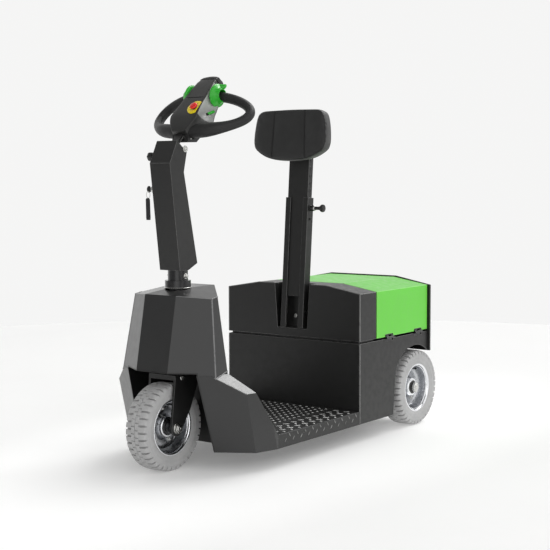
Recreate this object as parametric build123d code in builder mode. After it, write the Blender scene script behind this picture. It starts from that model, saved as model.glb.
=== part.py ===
from build123d import *
import os
from math import sin, cos, radians, sqrt

# Stand-on electric tow tractor.  Millimetres.  +X forward, +Y left, +Z up.
# Origin: floor level, on the symmetry plane, midway between the front tyre's
# front and the hitch's rear end.

os.makedirs("parts", exist_ok=True)

# ------------------------------------------------------------------ dimensions
XW = -133.0            # station of the rear box's front wall; stations below are from it
HALF_W = 279.0         # half width of the box, platform and front legs
SHEET = 3.0            # box, lid and column sheet
COWL_SHEET = 4.0       # front cowl sheet

Z_UNDER = 62.0         # underside of the sheet-metal body
Z_DECK = 106.0         # platform's walking surface
Z_BOX_TOP = 335.0      # top of the lower box
Z_LID = 342.4          # lower edge of lid and upper housing
Z_EAVE = 503.0         # lid's side walls end here
Z_RIDGE = 526.0        # lid's flat top
Y_RIDGE = 141.5        # half width of the lid's flat top
X_SEAM = -103.5        # upper housing's rear face
X_LID0, X_LID1 = -108.5, -453.5
X_REAR = -459.0        # lower box's rear face
REAR_PLATE_T = 6.0
REAR_PLATE_HALF = 288.0

X_DECK_END = 465.0     # platform meets the front cowl

R_TYRE, TYRE_HALF = 135.0, 40.0
R_RIM, R_BEAD = 86.0, 80.0
X_FRONT_AXLE, X_REAR_AXLE = 676.0, -392.0
Y_REAR_WHEEL = 239.0   # middle of a rear tyre
R_AXLE = 12.0
RUN = 0.05             # radial running fit

X_STEER = 605.0        # vertical steering axis
R_SPINDLE, R_COLLAR, R_NECK = 30.0, 40.0, 31.0
Z_COLLAR0, Z_COLLAR1, Z_COLUMN = 558.0, 579.0, 611.0
Y_COLUMN = 40.5

MAST_W, MAST_D, MAST_T = 94.0, 34.0, 3.5
MAST_BOTTOM, MAST_TOP = (5.0, 371.0), (-31.0, 824.0)     # front face in side view
INNER_W, INNER_D = 84.0, 25.0

X_HITCH_END, X_HITCH_PIN = -545.0, -514.0
R_HITCH_PIN = 9.5
Z_JAW_LOW, Z_JAW_HIGH, JAW_T = 190.0, 250.0, 12.0


def px(station):
    """x in the part frame of a station measured forward from the box's front wall"""
    return XW + station


def slab(x0, x1, y0, y1, z0, z1, mode=Mode.ADD):
    """a box between two stations, two widths and two heights"""
    with Locations((px((x0 + x1) / 2), (y0 + y1) / 2, (z0 + z1) / 2)):
        Box(abs(x1 - x0), abs(y1 - y0), abs(z1 - z0), mode=mode)


def side_plane(y=0.0):
    """sketch plane seen from the left side: local x = +X, local y = +Z, extrudes to -Y"""
    return Plane(origin=(XW, y, 0), x_dir=(1, 0, 0), z_dir=(0, -1, 0))


def front_plane(station=0.0):
    """sketch plane across the vehicle: local x = +Y, local y = +Z, extrudes to +X"""
    return Plane(origin=(px(station), 0, 0), x_dir=(0, 1, 0), z_dir=(1, 0, 0))


def wheel_plane(station):
    """half-section plane of a wheel: local x = +Y, local y = radius"""
    return Plane(origin=(px(station), 0, R_TYRE), x_dir=(0, 1, 0), z_dir=(1, 0, 0))


def wheel_axis(station):
    return Axis(origin=(px(station), 0, R_TYRE), direction=(0, 1, 0))


def cross_cylinder(station, z, y0, y1, r, mode=Mode.ADD):
    """cylinder along Y between two widths"""
    with Locations(Location((px(station), (y0 + y1) / 2, z), (90, 0, 0))):
        Cylinder(radius=r, height=abs(y1 - y0), mode=mode)


def post(station, y, z0, z1, r, mode=Mode.ADD):
    """upright cylinder between two heights"""
    with Locations((px(station), y, (z0 + z1) / 2)):
        Cylinder(radius=r, height=z1 - z0, mode=mode)


def save(builder, name):
    builder.part.label = name
    export_step(builder.part, "parts/" + name + ".step")


# ------------------------------------------------------------------ lower box
WELL_X, WELL_Y, WELL_Z = -222.0, 185.0, 300.0    # wheel house: front, inner side, roof
HINGE_X = (-190.0, -387.0)                        # lid hinges along the left edge
HINGE_Y, HINGE_Z, HINGE_R, HINGE_HALF = 281.0, 338.7, 4.5, 26.0

with BuildPart() as lower_body:
    slab(X_REAR, 0, -HALF_W, HALF_W, Z_UNDER, Z_BOX_TOP)
    # battery and drive bay, narrower between the wheel houses
    slab(WELL_X + SHEET, -SHEET, -HALF_W + SHEET, HALF_W - SHEET, Z_UNDER + SHEET, Z_BOX_TOP + 1, Mode.SUBTRACT)
    slab(X_REAR + SHEET, WELL_X + SHEET, -WELL_Y + SHEET, WELL_Y - SHEET, Z_UNDER + SHEET, Z_BOX_TOP + 1, Mode.SUBTRACT)
    slab(X_REAR + SHEET, WELL_X + SHEET, -HALF_W + SHEET, HALF_W - SHEET, WELL_Z + SHEET, Z_BOX_TOP + 1, Mode.SUBTRACT)
    for side in (-1, 1):
        y0, y1 = sorted((side * WELL_Y, side * (HALF_W - SHEET)))
        slab(X_REAR - 5, WELL_X, y0, y1, Z_UNDER - 5, WELL_Z, Mode.SUBTRACT)
    # wheel arch in both side skins
    with BuildSketch(side_plane(HALF_W + 1)) as arch:
        with BuildLine():
            Line((-220, Z_UNDER - 10), (-220, Z_UNDER + 10))
            Line((-220, Z_UNDER + 10), (-229, 170))
            ThreePointArc((-229, 170), (-258, 250), (-330, 287))
            ThreePointArc((-330, 287), (-392, 291), (X_REAR - 2, 260))
            Polyline((X_REAR - 2, 260), (X_REAR - 2, Z_UNDER - 10), (-220, Z_UNDER - 10))
        make_face()
    for side in (-1, 1):
        with Locations((0, 0)):
            extrude(arch.sketch.moved(Location((0, 0 if side > 0 else -2 * HALF_W + 2, 0))), amount=SHEET + 3, mode=Mode.SUBTRACT)
    # axle passages in the wheel houses' inner walls
    cross_cylinder(X_REAR_AXLE, R_TYRE, -WELL_Y - 5, WELL_Y + 5, 32, Mode.SUBTRACT)
    # notches for the lid hinges
    for hx in HINGE_X:
        slab(hx - HINGE_HALF - 1, hx + HINGE_HALF + 1, HALF_W - SHEET - 1, HALF_W + 1, 327, Z_BOX_TOP + 1, Mode.SUBTRACT)
save(lower_body, "lower_body")

# battery tray rests on the wheel houses' roofs
TRAY = (-118.0, -442.0, 247.0, 303.0, 340.0)      # front, rear, half width, bottom, rim
with BuildPart() as battery_tray:
    slab(TRAY[1], TRAY[0], -TRAY[2], TRAY[2], TRAY[3], TRAY[4])
    slab(TRAY[1] + 3, TRAY[0] - 3, -TRAY[2] + 3, TRAY[2] - 3, TRAY[3] + 3, TRAY[4] + 1, Mode.SUBTRACT)
save(battery_tray, "battery_tray")

with BuildPart() as battery:
    for y0, y1 in ((-240, -2), (2, 240)):
        slab(-436, -124, y0, y1, 306, 468)
save(battery, "battery")

with BuildPart() as drive_unit:
    slab(-445, -300, -105, 105, 80, 215)
save(drive_unit, "drive_unit")

with BuildPart() as rear_axle:
    for side in (-1, 1):
        y0, y1 = sorted((side * 105, side * 196))
        cross_cylinder(X_REAR_AXLE, R_TYRE, y0, y1, 24)
        y0, y1 = sorted((side * 196, side * 264))
        cross_cylinder(X_REAR_AXLE, R_TYRE, y0, y1, R_AXLE)
        y0, y1 = sorted((side * 264, side * 271))
        cross_cylinder(X_REAR_AXLE, R_TYRE, y0, y1, 17)
save(rear_axle, "rear_axle")

# ------------------------------------------------------------------ platform
with BuildPart() as platform:
    slab(0, X_DECK_END, -HALF_W, HALF_W, Z_UNDER, Z_DECK)
    slab(-1, X_DECK_END + 1, -HALF_W + SHEET, HALF_W - SHEET, Z_UNDER - 1, Z_DECK - 4, Mode.SUBTRACT)
    fillet(platform.edges().filter_by(Axis.X).group_by(Axis.Z)[-1], radius=2.5)
save(platform, "platform")

RAIL_Y = (-150.0, 150.0)
with BuildPart() as chassis_rails:
    for ry in RAIL_Y:
        slab(0, X_DECK_END, ry - 20, ry + 20, 66, 102)
        slab(-1, X_DECK_END + 1, ry - 17, ry + 17, 69, 99, Mode.SUBTRACT)
save(chassis_rails, "chassis_rails")

# ------------------------------------------------------------------ front cowl
# each facet: a point on it (station, y, z) and its outward normal
COWL_FACETS = (
    ((687, 62, 539), (0.9825, 0, 0.186)),          # front
    ((687, 62, 539), (0.836, 0.526, 0.158)),       # front left
    ((687, -62, 539), (0.836, -0.526, 0.158)),     # front right
    ((630, 155, 531), (-0.019, 0.991, 0.134)),     # left
    ((630, -155, 531), (-0.019, -0.991, 0.134)),   # right
    ((603, 155, 535), (-0.665, 0.737, 0.121)),     # rear left
    ((603, -155, 535), (-0.665, -0.737, 0.121)),   # rear right
    ((517, 0, 562), (-0.9965, 0, 0.084)),          # rear
    ((630, 155, 531), (0.143, 0.171, 0.975)),      # top left
    ((630, -155, 531), (0.143, -0.171, 0.975)),    # top right
    ((687, 0, 539), (0.270, 0, 0.963)),            # top front
    ((517, 0, 562), (0.066, 0, 0.998)),            # top rear
)
LEG_FACETS = (
    ((620.5, 198.7, 193.6), (0.8331, 0.5122, -0.2089)),   # front
    ((470, 279, 62), (0.2514, 0.9655, -0.0684)),          # side, turned in towards the front
    ((0, 279, 0), (0, 1, 0)),                             # side, where it meets the platform
    ((626, 222, 272.6), (0.1728, 0.6299, 0.7572)),        # shoulder
    ((477, 0, 121), (-0.8302, 0, 0.5574)),                # sloping dash
    ((465, 0, 0), (-1, 0, 0)),                            # rear
)
LEG_INNER, LEG_START = 120.0, 500.0      # ahead of the toe board the legs begin inside the wheel well's walls
WELL_FACETS = (
    ((0, 148, 62), (0, 0.9990, 0.0449)),           # left wall
    ((0, -148, 62), (0, -0.9990, 0.0449)),         # right wall
    ((514, 0, 0), (-1, 0, 0)),                     # rear wall
    ((608.3, 149.1, 534), (-0.665, 0.737, 0.121)),   # corners, two sheets inside the cowl's rear facets
    ((608.3, -149.1, 534), (-0.665, -0.737, 0.121)),
    ((0, 0, 308), (0, 0, 1)),                      # roof
)


def half_spaces(facets, inset, x0, x1, y0, y1, z0, z1):
    """a convex block: a box trimmed by the facets, each moved inwards by inset"""
    with BuildPart() as block:
        slab(x0, x1, y0, y1, z0, z1)
        for (fx, fy, fz), normal in facets:
            split(bisect_by=Plane(origin=(px(fx), fy, fz), z_dir=normal).offset(-inset), keep=Keep.BOTTOM)
    return block.part


def mirrored(facets):
    return tuple(((x, -y, z), (a, -b, c)) for (x, y, z), (a, b, c) in facets)


def cowl_body(inset, z_low):
    """upper cowl and both legs, each facet moved inwards"""
    leg_fronts = (LEG_FACETS[0], mirrored(LEG_FACETS)[0])
    upper = half_spaces(COWL_FACETS, inset, 440, 780, -300, 300, 304 + inset, 620)
    lower = half_spaces(COWL_FACETS + leg_fronts, inset, 440, 780, -300, 300, z_low, 330)
    left = half_spaces(LEG_FACETS, inset, LEG_START, 780, LEG_INNER, 300, z_low, 304 - inset)
    right = half_spaces(mirrored(LEG_FACETS), inset, LEG_START, 780, -300, -LEG_INNER, z_low, 304 - inset)
    # toe board across the whole width, between the platform and the wheel well
    toe_left = half_spaces(LEG_FACETS, inset, 440, LEG_START + 12, -5, 300, z_low, 250)
    toe_right = half_spaces(mirrored(LEG_FACETS), inset, 440, LEG_START + 12, -300, 5, z_low, 250)
    return upper, lower, left, right, toe_left, toe_right


with BuildPart() as cowl_hollow:
    for piece in cowl_body(COWL_SHEET, Z_UNDER - 5):
        add(piece)

with BuildPart() as front_cowl:
    for piece in cowl_body(0.0, Z_UNDER):
        add(piece)
    add(half_spaces(WELL_FACETS, -COWL_SHEET, 440, 800, -300, 300, Z_UNDER - 10, 400), mode=Mode.SUBTRACT)
    add(cowl_hollow.part, mode=Mode.SUBTRACT)
    post(X_STEER, 0, 540, 600, R_COLLAR + 2, Mode.SUBTRACT)
save(front_cowl, "front_cowl")

# box-shaped liner round the steered wheel, open at the front and below
with BuildPart() as wheel_well:
    for piece in cowl_body(0.0, Z_UNDER):
        add(piece)
    add(half_spaces(WELL_FACETS, -COWL_SHEET, 440, 800, -300, 300, Z_UNDER - 10, 400), mode=Mode.INTERSECT)
    add(half_spaces(WELL_FACETS, 0.0, 440, 800, -300, 300, Z_UNDER - 10, 400), mode=Mode.SUBTRACT)
    post(X_STEER, 0, 300, 320, R_COLLAR + 2, Mode.SUBTRACT)
save(wheel_well, "wheel_well")

# bearing tube that carries the steering spindle
with BuildPart() as headstock:
    post(X_STEER, 0, 312, 540, 50)
    with Locations((px(X_STEER), 0, 316)):
        Cylinder(radius=78, height=8)
    post(X_STEER, 0, 300, 560, R_SPINDLE + RUN, Mode.SUBTRACT)
save(headstock, "headstock")

# ------------------------------------------------------------------ steered fork, spindle and column
FORK_IN, FORK_OUT = 46.0, 53.0
with BuildPart() as fork:
    with BuildSketch(side_plane(FORK_OUT)) as leg_side:
        with BuildLine():
            Polyline((560, 296), (683, 296), (683, 282), (701, 140))
            ThreePointArc((701, 140), (676, 110), (651.5, 130))
            Polyline((651.5, 130), (612, 187), (577, 262), (560, 280), (560, 296))
        make_face()
    extrude(amount=2 * FORK_OUT)
    slab(540, 720, -FORK_IN, FORK_IN, 80, 281, Mode.SUBTRACT)
    cross_cylinder(X_FRONT_AXLE, R_TYRE, -FORK_OUT - 5, FORK_OUT + 5, R_AXLE + 0.2, Mode.SUBTRACT)
save(fork, "fork")

with BuildPart() as front_axle:
    cross_cylinder(X_FRONT_AXLE, R_TYRE, -60, 60, R_AXLE)
    for side in (-1, 1):
        y0, y1 = sorted((side * FORK_OUT, side * (FORK_OUT + 12)))
        with BuildSketch(Plane(origin=(px(X_FRONT_AXLE), y0, R_TYRE), x_dir=(1, 0, 0), z_dir=(0, 1, 0))):
            RegularPolygon(radius=17, side_count=6)
        extrude(amount=12)
save(front_axle, "front_axle")

with BuildPart() as steering_spindle:
    post(X_STEER, 0, 296, Z_COLLAR0, R_SPINDLE)
    post(X_STEER, 0, Z_COLLAR0, Z_COLLAR1, R_COLLAR)
    post(X_STEER, 0, Z_COLLAR1, Z_COLUMN, R_NECK)
    cross_cylinder(X_STEER, 593, -R_COLLAR, R_COLLAR, 7, Mode.SUBTRACT)
save(steering_spindle, "steering_spindle")

with BuildPart() as neck_bolt:
    cross_cylinder(X_STEER, 593, -R_NECK - 9, R_NECK + 9, 7)
save(neck_bolt, "neck_bolt")

# side outline of the column: station, z
COLUMN_SIDE = ((601, 611), (642, 611), (684, 937), (650, 1005), (605, 971), (619.5, 910), (559, 630.5))
with BuildPart() as steering_column:
    with BuildSketch(side_plane(Y_COLUMN)) as column_outline:
        with BuildLine():
            Polyline(*COLUMN_SIDE, close=True)
        make_face()
    extrude(amount=2 * Y_COLUMN)
    with BuildSketch(side_plane(Y_COLUMN - SHEET)):
        add(column_outline.sketch_local)
        offset(amount=-SHEET, kind=Kind.INTERSECTION, mode=Mode.REPLACE)
        with BuildLine():
            Polyline((646, 992), (611, 966), (598, 1010), (640, 1030), close=True)
        make_face()
    extrude(amount=2 * (Y_COLUMN - SHEET), mode=Mode.SUBTRACT)
save(steering_column, "steering_column")

with BuildPart() as key_switch:
    cross_cylinder(658, 858, -Y_COLUMN - 9, -Y_COLUMN, 12)
save(key_switch, "key_switch")

# ------------------------------------------------------------------ tiller head
# head frame: u runs up the 45-degree incline towards the rider, w is the panel's outward normal
HEAD_O = (518.0, 1090.0)
S45 = sqrt(0.5)
ARM_DIR = (-0.25, 0.968)                  # the head slides along this line in the column
ARM_TOP, ARM_Z0, ARM_HALF = (623.0, 1005.0), 905.0, 17.0


def head_plane(w=0.0):
    """plane parallel to the panel: local x = u, local y = +Y... normal w"""
    return Plane(origin=(px(HEAD_O[0] + w * S45), 0, HEAD_O[1] + w * S45), x_dir=(-S45, 0, S45), z_dir=(S45, 0, S45))


def head_cut(u):
    """cross plane of the head at u: local x = -Y, local y = w"""
    return Plane(origin=(px(HEAD_O[0] - u * S45), 0, HEAD_O[1] + u * S45), x_dir=(0, -1, 0), z_dir=(-S45, 0, S45))


# cross sections of the head: u, half width of panel, w of panel, half width of base, w of base;
# its foot narrows to a tongue over the arm
HEAD_SECTIONS = (
    (-94, 29, 20, 33, -8),
    (-72, 40, 26, 52, -24),
    (-45, 53, 34, 82, -30),
    (31, 42, 35, 62, -30),
    (122, 31, 32, 38, -26),
    (148, 26, 24, 30, -12),
)
with BuildPart() as tiller_head:
    for a, b in zip(HEAD_SECTIONS, HEAD_SECTIONS[1:]):
        for u, yt, wt, yb, wb in (a, b):
            with BuildSketch(head_cut(u)):
                with BuildLine():
                    Polyline((-yb, 0), (-yt, wt), (yt, wt), (yb, 0), (yb * 0.8, wb), (-yb * 0.8, wb), close=True)
                make_face()
        loft(ruled=True)
save(tiller_head, "tiller_head")

# hand loop: one tube each side, from inside the head's foot round to inside its nose;
# its tips are swept back towards the rider.  Angles go round the oval from its left tip.
LOOP_A, LOOP_B, LOOP_R = 178.0, 80.0, 15.0
LOOP_SWEEP, LOOP_DROOP = 0.00145, 0.00025
LOOP_ANGLES = (-78, -52, -30, -10, 10, 30, 52, 78)


def loop_point(angle, side):
    y = LOOP_A * cos(radians(angle))
    u = LOOP_B * sin(radians(angle))
    return (px(HEAD_O[0] - u * S45 - LOOP_SWEEP * y * y), side * y, HEAD_O[1] + u * S45 - LOOP_DROOP * y * y)


def bend_radii(points, share=0.45):
    """largest radii that fit between the runs"""
    radii = []
    for a, b, c in zip(points, points[1:], points[2:]):
        run_in, run_out = Vector(b) - Vector(a), Vector(c) - Vector(b)
        turn = radians(run_in.get_angle(run_out))
        radii.append(share * min(run_in.length, run_out.length) / (sin(turn / 2) / cos(turn / 2)))
    return radii


with BuildPart() as loop_handle:
    for side in (-1, 1):
        points = [loop_point(angle, side) for angle in LOOP_ANGLES]
        with BuildLine() as loop_path:
            FilletPolyline(*points, radius=bend_radii(points))
        with BuildSketch(Plane(origin=loop_path.wires()[0] @ 0, z_dir=loop_path.wires()[0] % 0)):
            Circle(LOOP_R)
        sweep(path=loop_path.wires()[0])
    add(tiller_head.part, mode=Mode.SUBTRACT)
save(loop_handle, "loop_handle")

# direction thumb wheels, one each side of the nose, round the loop's upper ends
THUMB = (75.0, 5.0, 50.0, 64.0, 38.0, 17.0)        # u, w, inner face, outer face, radius, bore
with BuildPart() as thumb_wheels:
    for side in (-1, 1):
        with BuildSketch(Plane(origin=(px(HEAD_O[0] - THUMB[0] * S45 + THUMB[1] * S45), side * THUMB[2],
                                       HEAD_O[1] + THUMB[0] * S45 + THUMB[1] * S45),
                               x_dir=(1, 0, 0), z_dir=(0, side, 0))):
            Circle(THUMB[4])
            Circle(THUMB[5] + 3, mode=Mode.SUBTRACT)
        extrude(amount=THUMB[3] - THUMB[2])
    add(loop_handle.part, mode=Mode.SUBTRACT)
    add(tiller_head.part, mode=Mode.SUBTRACT)
save(thumb_wheels, "thumb_wheels")

with BuildPart() as stop_button:
    with Locations(head_plane(32).location * Location((-12, 28, 0))):
        Cylinder(radius=12, height=16, align=(Align.CENTER, Align.CENTER, Align.MIN))
    add(tiller_head.part, mode=Mode.SUBTRACT)
save(stop_button, "stop_button")

with BuildPart() as head_arm:
    # sliding block inside the column
    with BuildSketch(side_plane(30)):
        with BuildLine():
            ax, az = ARM_TOP
            dx, dz = ARM_DIR
            k = (ARM_Z0 - az) / dz
            Polyline((ax + k * dx - ARM_HALF, ARM_Z0), (ax + k * dx + ARM_HALF, ARM_Z0), (645, 984), (616, 964), close=True)
        make_face()
    extrude(amount=60)
    # neck that bends rearwards under the head's foot
    with BuildSketch(side_plane(13)):
        with BuildLine():
            Polyline((640, 950), (640, 984), (614, 1004), (584, 1034), (566, 1052), (550, 1042), (600, 1003), (626, 974),
                     (628, 950), close=True)
        make_face()
    extrude(amount=26)
    # bracket under the head's base, with a triangular pocket in each side
    with BuildSketch(side_plane(32)):
        with BuildLine():
            Polyline((589.5, 1001), (586, 1031), (570, 1048), (532, 1044), (520, 1024), (548, 1001.6), close=True)
        make_face()
    extrude(amount=64)
    for y in (32, -25):
        with BuildSketch(side_plane(y)):
            with BuildLine():
                Polyline((579, 1010), (561, 1010), (571, 1022), close=True)
            make_face()
        extrude(amount=7, mode=Mode.SUBTRACT)
    add(tiller_head.part, mode=Mode.SUBTRACT)
save(head_arm, "head_arm")

with BuildPart() as clamp_knob:
    cross_cylinder(650, 957, -Y_COLUMN - 14, -Y_COLUMN, 6)
    cross_cylinder(650, 957, -Y_COLUMN - 32, -Y_COLUMN - 14, 14)
save(clamp_knob, "clamp_knob")

# ------------------------------------------------------------------ wheels
# half section of a tyre: offset from the wheel's middle plane, radius
TYRE_SECTION = ((-30, 80.2), (-30, 87), (-38, 90), (-40, 100), (-40, 118), (-36, 129), (-24, 134), (-12, 135),
                (12, 135), (24, 134), (36, 129), (40, 118), (40, 100), (38, 90), (30, 87), (30, 80.2))
# half section of a rim whose dish opens to +Y
RIM_SECTION = ((-34, 76), (-34, 86), (-30.5, 86), (-30.5, 80), (30.5, 80), (30.5, 86), (34, 86), (34, 76),
               (-6, 72), (-10, 34), (18, 30), (18, 0), (-26, 0), (-26, 30), (-16, 34), (-14, 74), (-30, 76))


def wheel(station, y_mid, dish_side, tyre_name, rim_name):
    with BuildPart() as tyre:
        with BuildSketch(wheel_plane(station)):
            with BuildLine():
                Polyline(*[(y_mid + y, r) for y, r in TYRE_SECTION], close=True)
            make_face()
        revolve(axis=wheel_axis(station))
    save(tyre, tyre_name)
    with BuildPart() as rim:
        with BuildSketch(wheel_plane(station)):
            with BuildLine():
                Polyline(*[(y_mid + dish_side * y, r) for y, r in RIM_SECTION], close=True)
            make_face()
        revolve(axis=wheel_axis(station))
        cross_cylinder(station, R_TYRE, y_mid - 50, y_mid + 50, R_AXLE + RUN, Mode.SUBTRACT)
    save(rim, rim_name)


wheel(X_FRONT_AXLE, 0.0, 1, "front_tyre", "front_rim")
wheel(X_REAR_AXLE, Y_REAR_WHEEL, 1, "rear_tyre_left", "rear_rim_left")
wheel(X_REAR_AXLE, -Y_REAR_WHEEL, -1, "rear_tyre_right", "rear_rim_right")

# ------------------------------------------------------------------ upper housing with the mast recess
ROOF = ((-HALF_W, Z_EAVE), (-Y_RIDGE, Z_RIDGE), (Y_RIDGE, Z_RIDGE), (HALF_W, Z_EAVE))


def roof_block(x0, x1, inset, z_low):
    """prism with the roof's outline, each face moved inwards by inset"""
    with BuildPart() as block:
        with BuildSketch(front_plane(x1 + inset)):
            with BuildLine():
                Polyline((-HALF_W + inset, z_low), (-HALF_W + inset, Z_EAVE - inset), (-Y_RIDGE, Z_RIDGE - inset),
                         (Y_RIDGE, Z_RIDGE - inset), (HALF_W - inset, Z_EAVE - inset), (HALF_W - inset, z_low), close=True)
            make_face()
        extrude(amount=x0 - x1 - 2 * inset)
    return block.part


# recess in the front: half width at the floor and at the top, floor height, depth
RECESS = (62.0, 74.0, 371.0, 46.0)


def recess_block(grow):
    half0, half1, floor_z, deep = RECESS
    with BuildPart() as block:
        with BuildSketch(front_plane(-deep - grow)):
            with BuildLine():
                Polyline((-half0 - grow, floor_z - grow), (-half1 - grow - 1, Z_RIDGE + 20), (half1 + grow + 1, Z_RIDGE + 20),
                         (half0 + grow, floor_z - grow), close=True)
            make_face()
        extrude(amount=deep + grow + 10)
    return block.part


with BuildPart() as housing_hollow:
    add(roof_block(0, X_SEAM, SHEET, Z_LID - 5))
    add(recess_block(SHEET), mode=Mode.SUBTRACT)

with BuildPart() as upper_housing:
    add(roof_block(0, X_SEAM, 0.0, Z_LID))
    add(recess_block(0.0), mode=Mode.SUBTRACT)
    add(housing_hollow.part, mode=Mode.SUBTRACT)
    # bottom flange and the set-back plinth that carries it on the lower box
    slab(X_SEAM, 0, -HALF_W, HALF_W, Z_LID, Z_LID + SHEET)
    slab(X_SEAM + 6, -9, -HALF_W + 9, HALF_W - 9, Z_BOX_TOP, Z_LID + 1)
    slab(X_SEAM + 18, -21, -HALF_W + 21, HALF_W - 21, Z_BOX_TOP - 1, Z_LID + SHEET + 1, Mode.SUBTRACT)
save(upper_housing, "upper_housing")

with BuildPart() as battery_lid:
    add(roof_block(X_LID0, X_LID1, 0.0, Z_LID))
    add(roof_block(X_LID0, X_LID1, SHEET, Z_LID - 5), mode=Mode.SUBTRACT)
    for hx in HINGE_X:
        slab(hx - HINGE_HALF - 1, hx + HINGE_HALF + 1, HALF_W - SHEET - 1, HALF_W + 1, Z_LID - 1, 351, Mode.SUBTRACT)
save(battery_lid, "battery_lid")

# lid hinges: middle knuckle on the box, outer knuckles on the lid
with BuildPart() as hinge_fixed:
    for hx in HINGE_X:
        with Locations(Location((px(hx), HINGE_Y, HINGE_Z), (0, 90, 0))):
            Cylinder(radius=HINGE_R, height=16)
            Cylinder(radius=2.0, height=2 * HINGE_HALF)
        slab(hx - 7.5, hx + 7.5, 273, HINGE_Y, 332, HINGE_Z)
        slab(hx - 24, hx + 24, 273, 276, 305, 333)
save(hinge_fixed, "hinge_fixed")

with BuildPart() as hinge_moving:
    for hx in HINGE_X:
        for end in (-1, 1):
            with Locations(Location((px(hx + end * 17), HINGE_Y, HINGE_Z), (0, 90, 0))):
                Cylinder(radius=HINGE_R, height=16)
            slab(hx + end * 17 - 7.5, hx + end * 17 + 7.5, 273, HINGE_Y, HINGE_Z, 347)
            with Locations(Location((px(hx + end * 17), HINGE_Y, HINGE_Z), (0, 90, 0))):
                Cylinder(radius=2.05, height=20, mode=Mode.SUBTRACT)
        slab(hx - 24.5, hx + 24.5, 273, 276, 346, 375)
save(hinge_moving, "hinge_moving")

# ------------------------------------------------------------------ rear plate and hitch
with BuildPart() as rear_plate:
    with BuildSketch(front_plane(X_REAR - REAR_PLATE_T)):
        with BuildLine():
            Polyline((REAR_PLATE_HALF, 263), (REAR_PLATE_HALF, 503), (142, 530), (-142, 530), (-REAR_PLATE_HALF, 503),
                     (-REAR_PLATE_HALF, 263), (-184, 263), (-184, 80), (184, 80), (184, 263), close=True)
        make_face()
    extrude(amount=REAR_PLATE_T)
save(rear_plate, "rear_plate")

X_JAW = X_REAR - REAR_PLATE_T
with BuildPart() as hitch_jaw:
    slab(X_JAW - 8, X_JAW, -62, 62, 170, 282)
    for z in (Z_JAW_LOW, Z_JAW_HIGH):
        slab(X_HITCH_END + 32, X_JAW - 8, -40, 40, z, z + JAW_T)
        with Locations((px(X_HITCH_END + 40), 0, z + JAW_T / 2)):
            Cylinder(radius=40, height=JAW_T)
    post(X_HITCH_PIN, 0, 180, 290, R_HITCH_PIN + 0.3, Mode.SUBTRACT)
save(hitch_jaw, "hitch_jaw")

with BuildPart() as hitch_pin:
    post(X_HITCH_PIN, 0, 184, 264, R_HITCH_PIN)
    post(X_HITCH_PIN, 0, 262.3, 270, 15)
    post(X_HITCH_PIN, 0, 270, 288, 5)
    with Locations((px(X_HITCH_PIN), 0, 296)):
        Sphere(radius=12)
save(hitch_pin, "hitch_pin")

# ------------------------------------------------------------------ lean-seat mast
LEAN = (MAST_TOP[0] - MAST_BOTTOM[0], MAST_TOP[1] - MAST_BOTTOM[1])
LEAN_L = sqrt(LEAN[0] ** 2 + LEAN[1] ** 2)
LEAN_U = (LEAN[0] / LEAN_L, LEAN[1] / LEAN_L)


def mast_plane(s):
    """cross plane of the mast, s along it from its foot: local x = forward, local y = +Y; local x = 0 on the front face"""
    return Plane(origin=(px(MAST_BOTTOM[0] + LEAN_U[0] * s), 0, MAST_BOTTOM[1] + LEAN_U[1] * s),
                 x_dir=(LEAN_U[1], 0, -LEAN_U[0]), z_dir=(LEAN_U[0], 0, LEAN_U[1]))


MAST_LIP = 21.0
with BuildPart() as mast_outer:
    with BuildSketch(mast_plane(2)):
        with Locations((-MAST_D / 2, 0)):
            Rectangle(MAST_D, MAST_W)
            Rectangle(MAST_D - 2 * MAST_T, MAST_W - 2 * MAST_T, mode=Mode.SUBTRACT)
        with Locations((-MAST_T / 2, 0)):
            Rectangle(MAST_T * 2, MAST_W - 2 * MAST_LIP, mode=Mode.SUBTRACT)
    extrude(amount=LEAN_L - 2)
    slab(-60, 40, -60, 60, 340, RECESS[2], Mode.SUBTRACT)
save(mast_outer, "mast_outer")

# foot plate ties the mast to the recess's rear wall
with BuildPart() as mast_foot:
    slab(-46, -30.5, -44, 44, 371, 379)
    slab(-46, -40, -44, 44, 379, 470)
save(mast_foot, "mast_foot")

S_PLUNGER = 418.0
with BuildPart() as mast_plunger:
    plunger_x = MAST_BOTTOM[0] + LEAN_U[0] * S_PLUNGER - MAST_D / 2
    plunger_z = MAST_BOTTOM[1] + LEAN_U[1] * S_PLUNGER
    cross_cylinder(plunger_x, plunger_z, MAST_W / 2, MAST_W / 2 + 18, 11)
    cross_cylinder(plunger_x, plunger_z, MAST_W / 2 + 18, MAST_W / 2 + 46, 4)
    with Locations((px(plunger_x), MAST_W / 2 + 53, plunger_z)):
        Sphere(radius=12)
save(mast_plunger, "mast_plunger")

S_INNER0, S_INNER1 = 112.0, 690.0
with BuildPart() as mast_inner:
    with BuildSketch(mast_plane(S_INNER0)):
        with Locations((-MAST_D / 2, 0)):
            Rectangle(INNER_D, INNER_W)
            Rectangle(INNER_D - 6, INNER_W - 6, mode=Mode.SUBTRACT)
    extrude(amount=S_INNER1 - S_INNER0)
save(mast_inner, "mast_inner")

def pad_plane(forward):
    """plane parallel to the mast's front face: local x = +Y, local y = along the mast, normal forward"""
    return Plane(origin=(px(MAST_BOTTOM[0] + LEAN_U[1] * forward), 0, MAST_BOTTOM[1] - LEAN_U[0] * forward),
                 x_dir=(0, 1, 0), z_dir=(LEAN_U[1], 0, -LEAN_U[0]))


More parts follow.
